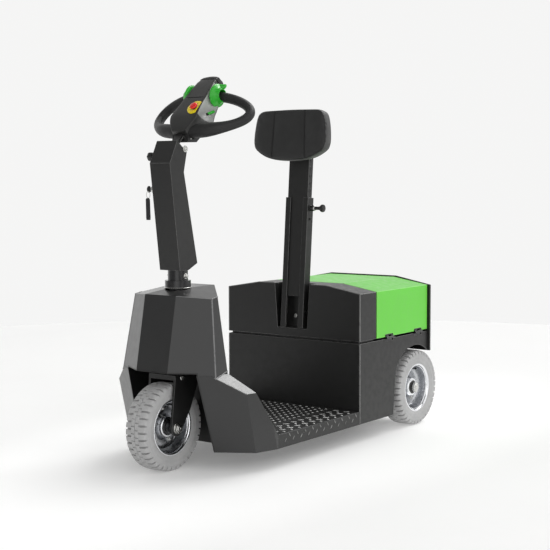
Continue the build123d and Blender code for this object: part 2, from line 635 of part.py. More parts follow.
PAD_BACK, PAD_FRONT = 24.0, 66.0
MAST_FACE = -(MAST_D - INNER_D) / 2
with BuildPart() as pad_plate:
    with BuildSketch(pad_plane(PAD_BACK - 4)):
        with Locations((0, 662)):
            RectangleRounded(190, 110, 12)
    extrude(amount=4)
    with BuildSketch(pad_plane(MAST_FACE)):
        with Locations((0, 662)):
            Rectangle(60, 46)
    extrude(amount=PAD_BACK - 4 - MAST_FACE)
save(pad_plate, "pad_plate")

# pad outline: y, distance up the mast
PAD_OUTLINE = ((-149, 656), (-147, 690), (-134, 733), (-112, 744), (112, 744), (134, 733), (147, 690), (149, 656),
               (145, 628), (131, 604), (100, 588), (40, 580), (-40, 580), (-100, 588), (-131, 604), (-145, 628))
with BuildPart() as lean_pad:
    with BuildSketch(pad_plane(PAD_BACK)):
        with BuildLine():
            Polyline(*PAD_OUTLINE, close=True)
        make_face()
    extrude(amount=PAD_FRONT - PAD_BACK)
save(lean_pad, "lean_pad")
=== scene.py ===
import bpy, bmesh, math, random
from mathutils import Vector, Matrix
from mathutils.bvhtree import BVHTree


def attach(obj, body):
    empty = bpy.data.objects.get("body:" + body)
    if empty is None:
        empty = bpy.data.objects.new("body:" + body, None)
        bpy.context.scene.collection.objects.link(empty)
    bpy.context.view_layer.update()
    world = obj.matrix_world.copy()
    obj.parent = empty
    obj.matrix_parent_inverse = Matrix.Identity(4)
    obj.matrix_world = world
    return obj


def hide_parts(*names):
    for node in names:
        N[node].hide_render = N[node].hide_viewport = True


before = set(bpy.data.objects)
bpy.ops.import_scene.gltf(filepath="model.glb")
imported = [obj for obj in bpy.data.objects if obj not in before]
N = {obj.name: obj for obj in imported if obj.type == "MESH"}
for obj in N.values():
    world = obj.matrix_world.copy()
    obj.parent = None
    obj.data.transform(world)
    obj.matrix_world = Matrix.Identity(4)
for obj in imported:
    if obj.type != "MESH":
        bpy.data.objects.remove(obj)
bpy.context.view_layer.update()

XW = -0.133
TAU = 2 * math.pi
S45 = math.sqrt(0.5)
rnd = random.Random(11)
X, Y, Z = Vector((1, 0, 0)), Vector((0, 1, 0)), Vector((0, 0, 1))


def V(s, y, z):
    """point from a station, width and height in millimetres; stations are forward of the rear box's front wall"""
    return Vector((XW + s / 1000.0, y / 1000.0, z / 1000.0))


def mm(a):
    return a / 1000.0


# ================================================================== materials
def new_mat(name):
    m = bpy.data.materials.new(name)
    m.use_nodes = True
    nt = m.node_tree
    return m, nt, nt.nodes["Principled BSDF"]


def node(nt, kind, **props):
    n = nt.nodes.new(kind)
    for k, v in props.items():
        setattr(n, k, v)
    return n


def coords(nt, scale=(1, 1, 1), rot=(0, 0, 0)):
    tc = node(nt, "ShaderNodeTexCoord")
    mp = node(nt, "ShaderNodeMapping")
    mp.inputs["Scale"].default_value = scale
    mp.inputs["Rotation"].default_value = rot
    nt.links.new(tc.outputs["Object"], mp.inputs["Vector"])
    return mp.outputs["Vector"]


def noise(nt, vec, scale, detail=3.0, rough=0.55):
    n = node(nt, "ShaderNodeTexNoise")
    n.inputs["Scale"].default_value = scale
    n.inputs["Detail"].default_value = detail
    n.inputs["Roughness"].default_value = rough
    nt.links.new(vec, n.inputs["Vector"])
    return n.outputs["Fac"]


def ramp(nt, fac, stops, interp="LINEAR"):
    r = node(nt, "ShaderNodeValToRGB")
    r.color_ramp.interpolation = interp
    el = r.color_ramp.elements
    while len(el) < len(stops):
        el.new(0.5)
    for e, (p, c) in zip(el, stops):
        e.position = p
        e.color = (c[0], c[1], c[2], 1) if hasattr(c, "__len__") else (c, c, c, 1)
    nt.links.new(fac, r.inputs["Fac"])
    return r.outputs["Color"]


def maths(nt, op, a, b=None):
    n = node(nt, "ShaderNodeMath", operation=op)
    for i, v in enumerate((a, b)):
        if v is None:
            continue
        if isinstance(v, (int, float)):
            n.inputs[i].default_value = v
        else:
            nt.links.new(v, n.inputs[i])
    return n.outputs[0]


def mapped(nt, fac, lo, hi, a=0.3, b=0.7):
    n = node(nt, "ShaderNodeMapRange")
    n.inputs["From Min"].default_value = a
    n.inputs["From Max"].default_value = b
    n.inputs["To Min"].default_value = lo
    n.inputs["To Max"].default_value = hi
    nt.links.new(fac, n.inputs["Value"])
    return n.outputs["Result"]


def bump(nt, height, strength, dist, normal=None):
    b = node(nt, "ShaderNodeBump")
    b.inputs["Strength"].default_value = strength
    b.inputs["Distance"].default_value = dist
    nt.links.new(height, b.inputs["Height"])
    if normal is not None:
        nt.links.new(normal, b.inputs["Normal"])
    return b.outputs["Normal"]


def scaled(c, k):
    return tuple(min(1.0, v * k) for v in c)


def coat(name, base, rough=0.45, grain=620, depth=0.00012, vary=0.16, spec=0.5, gloss_spread=0.08, dust=0.0, clear=0.0):
    """powder coat or moulded plastic: fine orange peel, faint mottling, gloss that drifts, dust on upward faces"""
    m, nt, p = new_mat(name)
    v = coords(nt)
    big = noise(nt, v, 5.0, 4)
    mid = noise(nt, v, 46.0, 3)
    fine = noise(nt, v, grain, 2, 0.6)
    mix = maths(nt, "ADD", maths(nt, "MULTIPLY", big, 0.6), maths(nt, "MULTIPLY", mid, 0.4))
    col = ramp(nt, mix, [(0.30, scaled(base, 1 - vary)), (0.5, base), (0.70, scaled(base, 1 + vary))])
    if dust > 0:
        geo = node(nt, "ShaderNodeNewGeometry")
        sep = node(nt, "ShaderNodeSeparateXYZ")
        nt.links.new(geo.outputs["Normal"], sep.inputs[0])
        up = mapped(nt, sep.outputs["Z"], 0.0, dust, 0.55, 1.0)
        speck = mapped(nt, noise(nt, v, 130.0, 4, 0.7), 0.35, 1.0, 0.35, 0.65)
        fac = maths(nt, "MULTIPLY", up, speck)
        mx = node(nt, "ShaderNodeMix", data_type="RGBA")
        nt.links.new(fac, mx.inputs["Factor"])
        nt.links.new(col, mx.inputs["A"])
        mx.inputs["B"].default_value = (0.30, 0.29, 0.27, 1)
        col = mx.outputs["Result"]
    nt.links.new(col, p.inputs["Base Color"])
    nt.links.new(mapped(nt, mid, rough - gloss_spread, rough + gloss_spread), p.inputs["Roughness"])
    nt.links.new(bump(nt, fine, 0.55, depth), p.inputs["Normal"])
    p.inputs["Specular IOR Level"].default_value = spec
    if clear > 0:
        p.inputs["Coat Weight"].default_value = clear
        p.inputs["Coat Roughness"].default_value = 0.12
    return m


def painted_shade_below(m, z0, z1, low):
    """painted shade: darken the base colour of a material below z1"""
    nt = m.node_tree
    p = nt.nodes["Principled BSDF"]
    col = p.inputs["Base Color"].links[0].from_socket
    tc = node(nt, "ShaderNodeTexCoord")
    sep = node(nt, "ShaderNodeSeparateXYZ")
    nt.links.new(tc.outputs["Object"], sep.inputs[0])
    f = mapped(nt, sep.outputs["Z"], 0.0, 1.0, z0, z1)
    mx = node(nt, "ShaderNodeMix", data_type="RGBA")
    nt.links.new(f, mx.inputs["Factor"])
    mx.inputs["A"].default_value = (low, low, low, 1)
    nt.links.new(col, mx.inputs["B"])
    nt.links.new(mx.outputs["Result"], p.inputs["Base Color"])
    return m


def metal(name, base, rough=0.2, vary=0.06, brushed=None, wear=0.0, grain=240, depth=0.00008):
    """plated or machined metal; brushed = scale of the lines along each axis"""
    m, nt, p = new_mat(name)
    v = coords(nt)
    big = noise(nt, v, 22.0, 4)
    col = ramp(nt, big, [(0.32, scaled(base, 1 - vary * 1.6)), (0.55, base), (0.72, scaled(base, 1 + vary))])
    nt.links.new(col, p.inputs["Base Color"])
    p.inputs["Metallic"].default_value = 1.0
    r = mapped(nt, noise(nt, v, 70.0, 5, 0.65), rough * 0.7, rough * 1.35 + wear)
    nt.links.new(r, p.inputs["Roughness"])
    if brushed:
        lines = noise(nt, coords(nt, brushed), 1.0, 3)
        nt.links.new(bump(nt, lines, 0.25, 0.00006), p.inputs["Normal"])
    else:
        nt.links.new(bump(nt, noise(nt, v, grain, 3), 0.18, depth), p.inputs["Normal"])
    return m


def rubber(name, base, rough=0.7, grain=900, depth=0.0002, vary=0.12):
    m, nt, p = new_mat(name)
    v = coords(nt)
    big = noise(nt, v, 11.0, 5, 0.6)
    scuff = noise(nt, v, 85.0, 4, 0.7)
    mix = maths(nt, "ADD", maths(nt, "MULTIPLY", big, 0.55), maths(nt, "MULTIPLY", scuff, 0.45))
    nt.links.new(ramp(nt, mix, [(0.33, scaled(base, 1 - vary)), (0.5, base), (0.68, scaled(base, 1 + vary))]), p.inputs["Base Color"])
    nt.links.new(mapped(nt, scuff, rough - 0.08, rough + 0.1), p.inputs["Roughness"])
    nt.links.new(bump(nt, noise(nt, v, grain, 2, 0.7), 0.6, depth), p.inputs["Normal"])
    p.inputs["Specular IOR Level"].default_value = 0.35
    return m


def leatherette(name, base):
    """vinyl cover: small pebbled cells with creases between them"""
    m, nt, p = new_mat(name)
    v = coords(nt)
    warp = node(nt, "ShaderNodeTexNoise")
    warp.inputs["Scale"].default_value = 160.0
    nt.links.new(v, warp.inputs["Vector"])
    vm = node(nt, "ShaderNodeVectorMath", operation="SCALE")
    nt.links.new(warp.outputs["Color"], vm.inputs[0])
    vm.inputs["Scale"].default_value = 0.0022
    va = node(nt, "ShaderNodeVectorMath", operation="ADD")
    nt.links.new(v, va.inputs[0])
    nt.links.new(vm.outputs[0], va.inputs[1])
    cell = node(nt, "ShaderNodeTexVoronoi", feature="DISTANCE_TO_EDGE")
    cell.inputs["Scale"].default_value = 520.0
    nt.links.new(va.outputs[0], cell.inputs["Vector"])
    h = mapped(nt, cell.outputs["Distance"], 0.0, 1.0, 0.0, 0.22)
    big = noise(nt, v, 16.0, 4)
    nt.links.new(ramp(nt, big, [(0.3, scaled(base, 0.8)), (0.7, scaled(base, 1.25))]), p.inputs["Base Color"])
    nt.links.new(mapped(nt, h, 0.62, 0.46, 0.0, 1.0), p.inputs["Roughness"])
    nt.links.new(bump(nt, h, 0.5, 0.00025), p.inputs["Normal"])
    p.inputs["Specular IOR Level"].default_value = 0.42
    p.inputs["Sheen Weight"].default_value = 0.06
    return m


def sparkle_tread(name, base):
    """tread plate: coat rubbed thin in patches by boots"""
    m, nt, p = new_mat(name)
    v = coords(nt)
    patch = noise(nt, v, 9.0, 5, 0.65)
    fine = noise(nt, v, 340.0, 3, 0.6)
    mix = maths(nt, "ADD", maths(nt, "MULTIPLY", patch, 0.55), maths(nt, "MULTIPLY", fine, 0.45))
    nt.links.new(ramp(nt, mix, [(0.36, scaled(base, 0.7)), (0.52, base), (0.66, scaled(base, 2.0))]), p.inputs["Base Color"])
    nt.links.new(mapped(nt, patch, 0.42, 0.6), p.inputs["Roughness"])
    nt.links.new(bump(nt, fine, 0.5, 0.0002), p.inputs["Normal"])
    return m


BLACK = (0.0098, 0.0098, 0.0095)
M = {
    "body": coat("body_powder_coat", BLACK, 0.44, dust=0.05),
    # the edge coats are lighter, glossier copies of the body, cowl and lid coats: a painted highlight on folds and
    # bevels
    "box_edge_highlight": coat("box_coat_fold_painted_highlight", (0.125, 0.125, 0.123), 0.30, vary=0.15, spec=0.7),
    "body_edge_highlight": coat("body_coat_edge_painted_highlight", (0.09, 0.09, 0.088), 0.30, vary=0.25, spec=0.8),
    "cowl": coat("cowl_powder_coat", (0.0135, 0.0136, 0.0139), 0.36, grain=520, depth=0.00003, gloss_spread=0.03, dust=0.03, clear=0.25),
    "cowl_edge_highlight": coat("cowl_coat_edge_painted_highlight", (0.15, 0.15, 0.152), 0.30, vary=0.25, spec=0.9),
    "frame": coat("frame_black_paint", (0.010, 0.010, 0.010), 0.42, grain=420, vary=0.25, dust=0.03),
    "lid": coat("lid_green_powder_coat", (0.140, 0.640, 0.052), 0.42, grain=640, vary=0.05, depth=0.0001),
    "lid_edge_highlight": coat("lid_green_edge_painted_highlight", (0.27, 0.80, 0.16), 0.34, vary=0.06),
    "tread": sparkle_tread("tread_plate_black", (0.016, 0.016, 0.0155)),
    # light tops of the tread marks and studs: partly rubbed steel, partly a painted glint
    "mark": coat("tread_mark_worn_tops_painted_glint", (0.62, 0.62, 0.61), 0.30, grain=300, vary=0.35, spec=0.9),
    "mark_side": metal("tread_mark_side_rubbed", (0.24, 0.24, 0.235), 0.34, vary=0.3, wear=0.1),
    "tyre": rubber("tyre_grey_rubber", (0.43, 0.429, 0.430), 0.66),
    "chrome": metal("rim_bright_chrome", (0.82, 0.83, 0.85), 0.17, vary=0.02, grain=60, depth=0.000002),
    "dish": metal("rim_dish_zinc_plated", (0.50, 0.51, 0.53), 0.27, vary=0.02, grain=45, depth=0.000002),
    "zinc": metal("zinc_plated_steel", (0.66, 0.66, 0.64), 0.24, vary=0.1),
    "spindle": coat("spindle_black_gloss", (0.010, 0.010, 0.011), 0.22, grain=260, depth=0.00004, gloss_spread=0.05, spec=0.6),
    "head": coat("head_black_plastic", (0.020, 0.020, 0.019), 0.42, grain=1100, depth=0.00009, gloss_spread=0.05),
    # cheek: silver-grey panel colour, partly a painted highlight, with painted shade darkening it towards the bottom
    "cheek": painted_shade_below(coat("head_cheek_silver_painted_highlight", (0.52, 0.52, 0.51), 0.34, grain=900, depth=0.00006, vary=0.08, gloss_spread=0.05, spec=0.7), 1.055, 1.125, 0.07),
    "cap": coat("head_cap_gloss_plastic", (0.006, 0.006, 0.006), 0.46, grain=900, depth=0.00001, gloss_spread=0.04, spec=0.25),
    "grip": rubber("grip_black_foam_rubber", (0.021, 0.021, 0.021), 0.50, grain=1300, depth=0.00010),
    "green": coat("green_moulded_plastic", (0.022, 0.44, 0.022), 0.30, grain=900, depth=0.00005, vary=0.06, gloss_spread=0.05, clear=0.05),
    "red": coat("red_moulded_plastic", (0.78, 0.014, 0.010), 0.28, grain=900, depth=0.00004, vary=0.06, gloss_spread=0.05, clear=0.2),
    "yellow": coat("yellow_moulded_plastic", (0.88, 0.70, 0.008), 0.40, grain=900, depth=0.00005, vary=0.05, gloss_spread=0.05),
    "knob": coat("knob_black_phenolic", (0.012, 0.012, 0.012), 0.30, grain=800, depth=0.00005),
    "pad": leatherette("pad_black_leatherette", (0.019, 0.019, 0.019)),
    # the side band's lighter vinyl is a painted sheen on faces turned away from the front
    "pad_side": leatherette("pad_side_band_painted_sheen_leatherette", (0.070, 0.070, 0.0695)),
    "seam": rubber("pad_seam_thread", (0.012, 0.012, 0.012), 0.6, 2600, 0.0002),
    "battery": coat("battery_case_grey", (0.060, 0.062, 0.066), 0.5, grain=300, depth=0.0003, vary=0.15, dust=0.1),
    "lead": metal("battery_lead_terminals", (0.42, 0.42, 0.43), 0.5, vary=0.2, wear=0.1),
    "cast": metal("drive_cast_aluminium", (0.42, 0.43, 0.44), 0.55, vary=0.15, grain=90),
    "tag": coat("key_tag_black_rubber", (0.012, 0.012, 0.014), 0.4, grain=500),
}


# ================================================================== mesh tools
class Shape:
    """faces gathered for one piece; each face keeps the number of its material"""

    def __init__(self):
        self.v, self.f, self.m = [], [], []

    def put(self, verts, faces, mat=0):
        k = len(self.v)
        self.v += [tuple(p) for p in verts]
        self.f += [tuple(i + k for i in f) for f in faces]
        self.m += [mat] * len(faces)

    def skin(self, rings, mat=0, loop=False, caps=True, mats=None):
        """closed rings of equal count joined in order; loop joins the last ring to the first"""
        n = len(rings[0])
        k = len(self.v)
        for r in rings:
            self.v += [tuple(p) for p in r]
        rows = len(rings) if loop else len(rings) - 1
        for i in range(rows):
            i2 = (i + 1) % len(rings)
            for j in range(n):
                j2 = (j + 1) % n
                self.f.append((k + i * n + j, k + i * n + j2, k + i2 * n + j2, k + i2 * n + j))
                self.m.append(mats[i] if mats else mat)
        if caps and not loop:
            last = k + (len(rings) - 1) * n
            self.f.append(tuple(k + j for j in range(n))[::-1])
            self.f.append(tuple(last + j for j in range(n)))
            self.m += [mats[0] if mats else mat, mats[-1] if mats else mat]

    def lathe(self, profile, origin, axis, seg=48, mat=0, loop=False, ref=None, mats=None, turn=0.0):
        """profile of (along the axis, radius)"""
        axis = Vector(axis).normalized()
        if ref is None:
            ref = X if abs(axis.x) < 0.9 else Z
        ref = (ref - axis * ref.dot(axis)).normalized()
        other = axis.cross(ref)
        rings = []
        for a, r in profile:
            c = origin + axis * a
            rings.append([c + (ref * math.cos(TAU * k / seg + turn) + other * math.sin(TAU * k / seg + turn)) * r for k in range(seg)])
        self.skin(rings, mat, loop, not loop, mats)

    def prism(self, outline, depth, mat=0):
        """outline: points in space of one face; depth: vector to the other face"""
        a = [Vector(p) for p in outline]
        self.skin([a, [p + depth for p in a]], mat)

    def box(self, centre, half, axes=(X, Y, Z), mat=0):
        c = Vector(centre)
        a, b, d = (Vector(v) * h for v, h in zip(axes, half))
        self.prism([c - a - b - d, c + a - b - d, c + a + b - d, c - a + b - d], d * 2, mat)

    def tube(self, points, radius, seg=16, mat=0, loop=False):
        pts = [Vector(p) for p in points]
        n = len(pts)
        rad = radius if hasattr(radius, "__len__") else [radius] * n
        tang = []
        for i in range(n):
            a = pts[(i - 1) % n] if (loop or i > 0) else pts[i]
            b = pts[(i + 1) % n] if (loop or i < n - 1) else pts[i]
            tang.append((b - a).normalized())
        ref = Z if abs(tang[0].z) < 0.9 else X
        u = (ref - tang[0] * ref.dot(tang[0])).normalized()
        rings = []
        for i in range(n):
            u = (u - tang[i] * u.dot(tang[i])).normalized()
            w = tang[i].cross(u)
            rings.append([pts[i] + (u * math.cos(TAU * k / seg) + w * math.sin(TAU * k / seg)) * rad[i] for k in range(seg)])
        self.skin(rings, mat, loop, not loop)

    def bolt(self, at, axis, r, h, mat=0, washer=True, turn=0.0, thread=0.0):
        """hex head on a washer; at lies on the seat"""
        axis = Vector(axis).normalized()
        if washer:
            self.lathe([(-mm(0.6), mm(r * 1.42)), (mm(1.0), mm(r * 1.42)), (mm(1.4), mm(r * 1.36)), (mm(1.4), mm(r * 0.6))], at, axis, 28, mat)
        z0 = 1.3 if washer else -0.6
        self.lathe([(mm(z0), mm(r)), (mm(z0 + h * 0.80), mm(r)), (mm(z0 + h), mm(r * 0.84))], at, axis, 6, mat, turn=turn)
        if thread > 0:
            self.lathe([(mm(z0 + h * 0.9), mm(r * 0.52)), (mm(z0 + h + thread - 0.8), mm(r * 0.52)), (mm(z0 + h + thread), mm(r * 0.42))], at, axis, 20, mat)

    def socket_screw(self, at, axis, r, h, mat=0):
        axis = Vector(axis).normalized()
        self.lathe([(-mm(0.5), mm(r)), (mm(h - 0.5), mm(r)), (mm(h), mm(r - 0.5)), (mm(h), mm(r * 0.55)), (mm(h * 0.45), mm(r * 0.5)), (mm(h * 0.45), mm(0.3))], at, axis, 24, mat)


def piece(name, shape, mats, body, replaces=(), smooth=32, bevel=0.0, segments=2, subdiv=0, weld=0.0):
    me = bpy.data.meshes.new(name)
    me.from_pydata([tuple(p) for p in shape.v], [], shape.f)
    for mt in mats:
        me.materials.append(mt)
    me.polygons.foreach_set("material_index", shape.m)
    bm = bmesh.new()
    bm.from_mesh(me)
    if weld > 0:
        bmesh.ops.remove_doubles(bm, verts=bm.verts, dist=weld)
    bmesh.ops.recalc_face_normals(bm, faces=bm.faces)
    bm.to_mesh(me)
    bm.free()
    me.polygons.foreach_set("use_smooth", [True] * len(me.polygons))
    me.set_sharp_from_angle(angle=math.radians(smooth))
    ob = bpy.data.objects.new(name, me)
    bpy.context.scene.collection.objects.link(ob)
    if bevel > 0:
        b = ob.modifiers.new("bevel", "BEVEL")
        b.width = mm(bevel)
        b.segments = segments
        b.limit_method = "ANGLE"
        b.angle_limit = math.radians(smooth)
        b.harden_normals = True
    if subdiv:
        s = ob.modifiers.new("subdivision", "SUBSURF")
        s.levels = s.render_levels = subdiv
    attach(ob, body)
    if replaces:
        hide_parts(*replaces)
    return ob


def finish_node(name, mat, edge=None, width=1.2, segments=2, angle=28, dissolve=True):
    """a CAD node keeps its mesh; folded edges get a radius and, on sheet, a lighter coat that paints a highlight on
    them
    """
    o = N[name]
    me = o.data
    me.materials.clear()
    me.materials.append(mat)
    if edge is not None:
        me.materials.append(edge)
    me.polygons.foreach_set("material_index", [0] * len(me.polygons))
    if "custom_normal" in me.attributes:
        me.attributes.remove(me.attributes["custom_normal"])
    me.polygons.foreach_set("use_smooth", [True] * len(me.polygons))
    w = o.modifiers.new("weld", "WELD")
    w.merge_threshold = 0.00002
    if dissolve:
        d = o.modifiers.new("flat", "DECIMATE")
        d.decimate_type = "DISSOLVE"
        d.angle_limit = math.radians(0.4)
    b = o.modifiers.new("bevel", "BEVEL")
    b.width = mm(width)
    b.segments = segments
    b.limit_method = "ANGLE"
    b.angle_limit = math.radians(angle)
    b.harden_normals = True
    if edge is not None:
        b.material = 1
    return o


FINISH = {
    # node: (material, edge material (lighter coat as a painted highlight), bevel width, angle)
    "lower_body": ("body", "body_edge_highlight", 1.3, 28),
    "upper_housing": ("body", "body_edge_highlight", 1.3, 12),
    "rear_plate": ("body", "body_edge_highlight", 0.9, 28),
    "front_cowl": ("cowl", "cowl_edge_highlight", 1.1, 12),
    "wheel_well": ("frame", None, 0.8, 28),
    "platform": ("tread", None, 0.6, 28),
    "chassis_rails": ("frame", None, 1.0, 28),
    "battery_lid": ("lid", "lid_edge_highlight", 1.2, 8),
    "battery_tray": ("frame", None, 0.8, 28),
    "battery": ("battery", None, 3.0, 28),
    "drive_unit": ("cast", None, 6.0, 28),
    "rear_axle": ("zinc", None, 0.8, 28),
    "headstock": ("frame", None, 0.8, 28),
    "hinge_fixed": ("spindle", None, 0.5, 28),
    "hinge_moving": ("spindle", None, 0.5, 28),
    "hitch_jaw": ("frame", None, 1.5, 28),
    "hitch_pin": ("zinc", None, 1.0, 28),
    "mast_outer": ("body", "body_edge_highlight", 1.0, 28),
    "mast_foot": ("frame", None, 0.8, 28),
    "mast_plunger": ("zinc", None, 0.6, 28),
    "mast_inner": ("body", "body_edge_highlight", 1.0, 28),
    "pad_plate": ("frame", None, 0.8, 28),
    "fork": ("frame", "body_edge_highlight", 0.8, 28),
    "steering_spindle": ("spindle", None, 0.8, 28),
    "neck_bolt": ("zinc", None, 0.8, 28),
    "steering_column": ("body", "body_edge_highlight", 1.5, 8),
    "key_switch": ("zinc", None, 0.6, 28),
    "clamp_knob": ("knob", None, 1.2, 28),
    "head_arm": ("frame", None, 1.0, 28),
}
for name, (mat, edge, width, angle) in FINISH.items():
    finish_node(name, M[mat], M[edge] if edge else None, width, 2, angle)


# ================================================================== wheels
R_T = 0.1349


def crown(y, top):
    """outer radius at an offset: over the blocks, or between them"""
    t = abs(y)
    prof = ((0, 134.9), (20, 134.7), (31, 133.8), (36.8, 131.9), (39.8, 127.6)) if top else ((0, 132.7), (10, 132.5), (20, 130.4), (31, 129.2), (36.5, 127.2), (39.6, 122.8))
    for (a, ra), (b, rb) in zip(prof, prof[1:]):
        if t <= b:
            return ra + (rb - ra) * (t - a) / (b - a)
    return prof[-1][1]


def tread_block(sh, c, phi0, phi1, y0, y1, lean=0.0, seg=3, rows=4):
    """one lug on the crown, its foot sunk in the carcass and its top edge broken"""
    def at(phi, y, r):
        return c + Vector((math.cos(phi), 0, math.sin(phi))) * mm(r) + Y * mm(y)
    ys = [y0 + (y1 - y0) * i / rows for i in range(rows + 1)]
    k = 1.1 / 134.0
    foot, edge, top = [], [], []
    def strip(inset_y, inset_p, drop):
        grid = []
        for i, y in enumerate(ys):
            yy = min(max(y, min(y0, y1) + inset_y), max(y0, y1) - inset_y)
            row = []
            for j in range(seg + 1):
                p = phi0 + (phi1 - phi0) * j / seg
                p = min(max(p, phi0 + inset_p), phi1 - inset_p)
                shift = lean * (y - y0) / (y1 - y0)
                row.append(at(p + shift, yy, crown(yy, True) - drop))
            grid.append(row)
        return grid
    low = strip(0.0, 0.0, 8.4)
    mid = strip(0.0, 0.0, 0.9)
    hi = strip(0.9, k, 0.0)
    def rim(g):
        r = [g[0][j] for j in range(seg + 1)]
        r += [g[i][seg] for i in range(1, rows + 1)]
        r += [g[rows][j] for j in range(seg - 1, -1, -1)]
        r += [g[i][0] for i in range(rows - 1, 0, -1)]
        return r
    kk = len(sh.v)
    verts = rim(low) + rim(mid) + rim(hi)
    n = len(rim(low))
    sh.v += [tuple(p) for p in verts]
    for a in range(2):
        for j in range(n):
            j2 = (j + 1) % n
            sh.f.append((kk + a * n + j, kk + a * n + j2, kk + (a + 1) * n + j2, kk + (a + 1) * n + j))
            sh.m.append(0)
    sh.f.append(tuple(kk + j for j in range(n))[::-1])
    sh.m.append(0)
    # top grid, its outer points shared with the rim of the top
    index = {}
    order = [(0, j) for j in range(seg + 1)] + [(i, seg) for i in range(1, rows + 1)] + [(rows, j) for j in range(seg - 1, -1, -1)] + [(i, 0) for i in range(rows - 1, 0, -1)]
    for q, ij in enumerate(order):
        index[ij] = kk + 2 * n + q
    for i in range(1, rows):
        for j in range(1, seg):
            index[(i, j)] = len(sh.v)
            sh.v.append(tuple(hi[i][j]))
    for i in range(rows):
        for j in range(seg):
            sh.f.append((index[(i, j)], index[(i, j + 1)], index[(i + 1, j + 1)], index[(i + 1, j)]))
            sh.m.append(0)


def tyre(name, c, node_name, body, turn=0.0):
    sh = Shape()
    # carcass: bead, smooth sidewall with a step ring, shoulder and grooved crown
    half = [(30.4, 80.6), (33.0, 83.0), (35.0, 86.5), (37.0, 89.5), (38.6, 94.0), (39.4, 99.0), (39.3, 103.0), (39.9, 104.2), (39.9, 106.2),
            (39.3, 107.4), (39.5, 113.0), (39.6, 118.0), (38.8, 120.6), (36.6, 123.0), (34.0, 124.6), (29.0, 126.0), (20.0, 127.2), (13.0, 130.6), (5.0, 131.4)]
    prof = [(mm(y), mm(r)) for y, r in half] + [(-mm(y), mm(r)) for y, r in reversed(half)]
    sh.lathe(prof, c, Y, 160, 0, loop=True, ref=X)
    lugs = 38
    step = TAU / lugs
    for k in range(lugs):
        p = turn + k * step
        for side in (-1, 1):
            q = p + (0.0 if side > 0 else 0.5 * step)
            tread_block(sh, c, q, q + step * 0.76, side * 13.6, side * 39.7, lean=0.010 * side)
        # centre: two rows of short blocks in brick bond
        tread_block(sh, c, p + 0.28 * step, p + 1.20 * step, 0.4, 14.0, rows=2)
        tread_block(sh, c, p + 0.78 * step, p + 1.70 * step, -14.0, -0.4, rows=2)
    return piece(name, sh, [M["tyre"]], body, (node_name,), smooth=38)


def rim(name, c, side, node_name, body, front):
    sh = Shape()
    outer = [(31, 80.0), (31, 84.2), (31.8, 86.2), (33.6, 87.2), (35.4, 86.6), (36.2, 84.8), (35.8, 82.6), (34.4, 80.6), (32.2, 78.9), (28.5, 78.0),
             (27.2, 76.2), (24, 75.4), (10, 74.2), (2.0, 72.8), (-3.5, 70.0), (-6.6, 65.5), (-7.8, 60.0), (-8.0, 52.0), (-7.6, 44.0),
             (-6.0, 39.0), (-2.0, 36.2), (4.0, 34.8), (11.0, 33.6), (15.0, 32.6), (17.2, 30.6), (17.8, 27.8), (17.6, 24.0), (9.0, 22.6), (9.0, 12.4)]
    inner = [(-18.0, 12.4), (-18.0, 26.0), (-16.5, 28.0), (-11.6, 29.0), (-11.0, 34.0), (-12.6, 41.0), (-9.6, 47.0), (-9.6, 54.0), (-12.0, 62.0),
             (-11.0, 68.0), (-8.5, 72.4), (-9.6, 75.2), (-14.0, 77.0), (-28.5, 78.0), (-32.2, 78.9), (-34.4, 80.6), (-35.8, 82.6), (-36.2, 84.8), (-35.4, 86.6),
             (-33.6, 87.2), (-31.8, 86.2), (-31, 84.2), (-31, 80.0)]
    prof = [(mm(side * y), mm(r)) for y, r in outer + inner]
    n0 = len(prof)
    dish = [3 if 10 <= i <= 20 or i >= len(outer) else 0 for i in range(n0)]
    sh.lathe(prof, c, Y, 96, 0, loop=True, ref=X, mats=dish)
    # hub centre: dark bearing seal and spacer
    if front:
        seat = [(8.6, 23.4), (18.5, 23.2), (19.8, 22.0), (20.4, 18.6), (30.0, 18.0), (42.0, 17.4), (43.0, 16.6), (43.0, 12.3), (8.6, 12.3)]
        back = [(-17.6, 25.0), (-19.0, 24.0), (-20.0, 18.6), (-42.0, 17.6), (-43.0, 16.6), (-43.0, 12.3), (-17.6, 12.3)]
    else:
        seat = [(8.6, 23.4), (18.5, 23.0), (19.6, 21.6), (20.2, 18.4), (23.6, 17.6), (24.2, 12.3), (8.6, 12.3)]
        back = [(-17.6, 25.0), (-19.0, 24.0), (-20.0, 21.0), (-30.0, 20.4), (-31.0, 12.3), (-17.6, 12.3)]
    for loop_ in (seat, back):
        sh.lathe([(mm(side * a), mm(r)) for a, r in loop_], c, Y, 40, 1, loop=True, ref=X)
    # wheel bolts on the raised ring, with spring washers, and their nuts behind
    for k in range(5):
        a = TAU * k / 5 + 0.35
        d = Vector((math.cos(a), 0, math.sin(a)))
        sh.bolt(c + d * mm(54) + Y * mm(side * -7.9), Y * side, 5.6, 4.6, 2, True, a, 3.0)
        sh.bolt(c + d * mm(52) + Y * mm(side * -9.6), -Y * side, 5.6, 4.6, 2, False, a, 2.0)
    # valve stem through the barrel
    a = 1.9
    d = Vector((math.cos(a), 0, math.sin(a)))
    sh.lathe([(0, mm(4.4)), (mm(8), mm(4.0)), (mm(9), mm(3.0)), (mm(19), mm(2.8)), (mm(19.5), mm(3.4)), (mm(26), mm(3.3)), (mm(26.6), mm(2.6))],
             c + d * mm(68.5) + Y * mm(side * -6.0), Y * side, 16, 1)
    return piece(name, sh, [M["chrome"], M["spindle"], M["zinc"], M["dish"]], body, (node_name,), smooth=40)


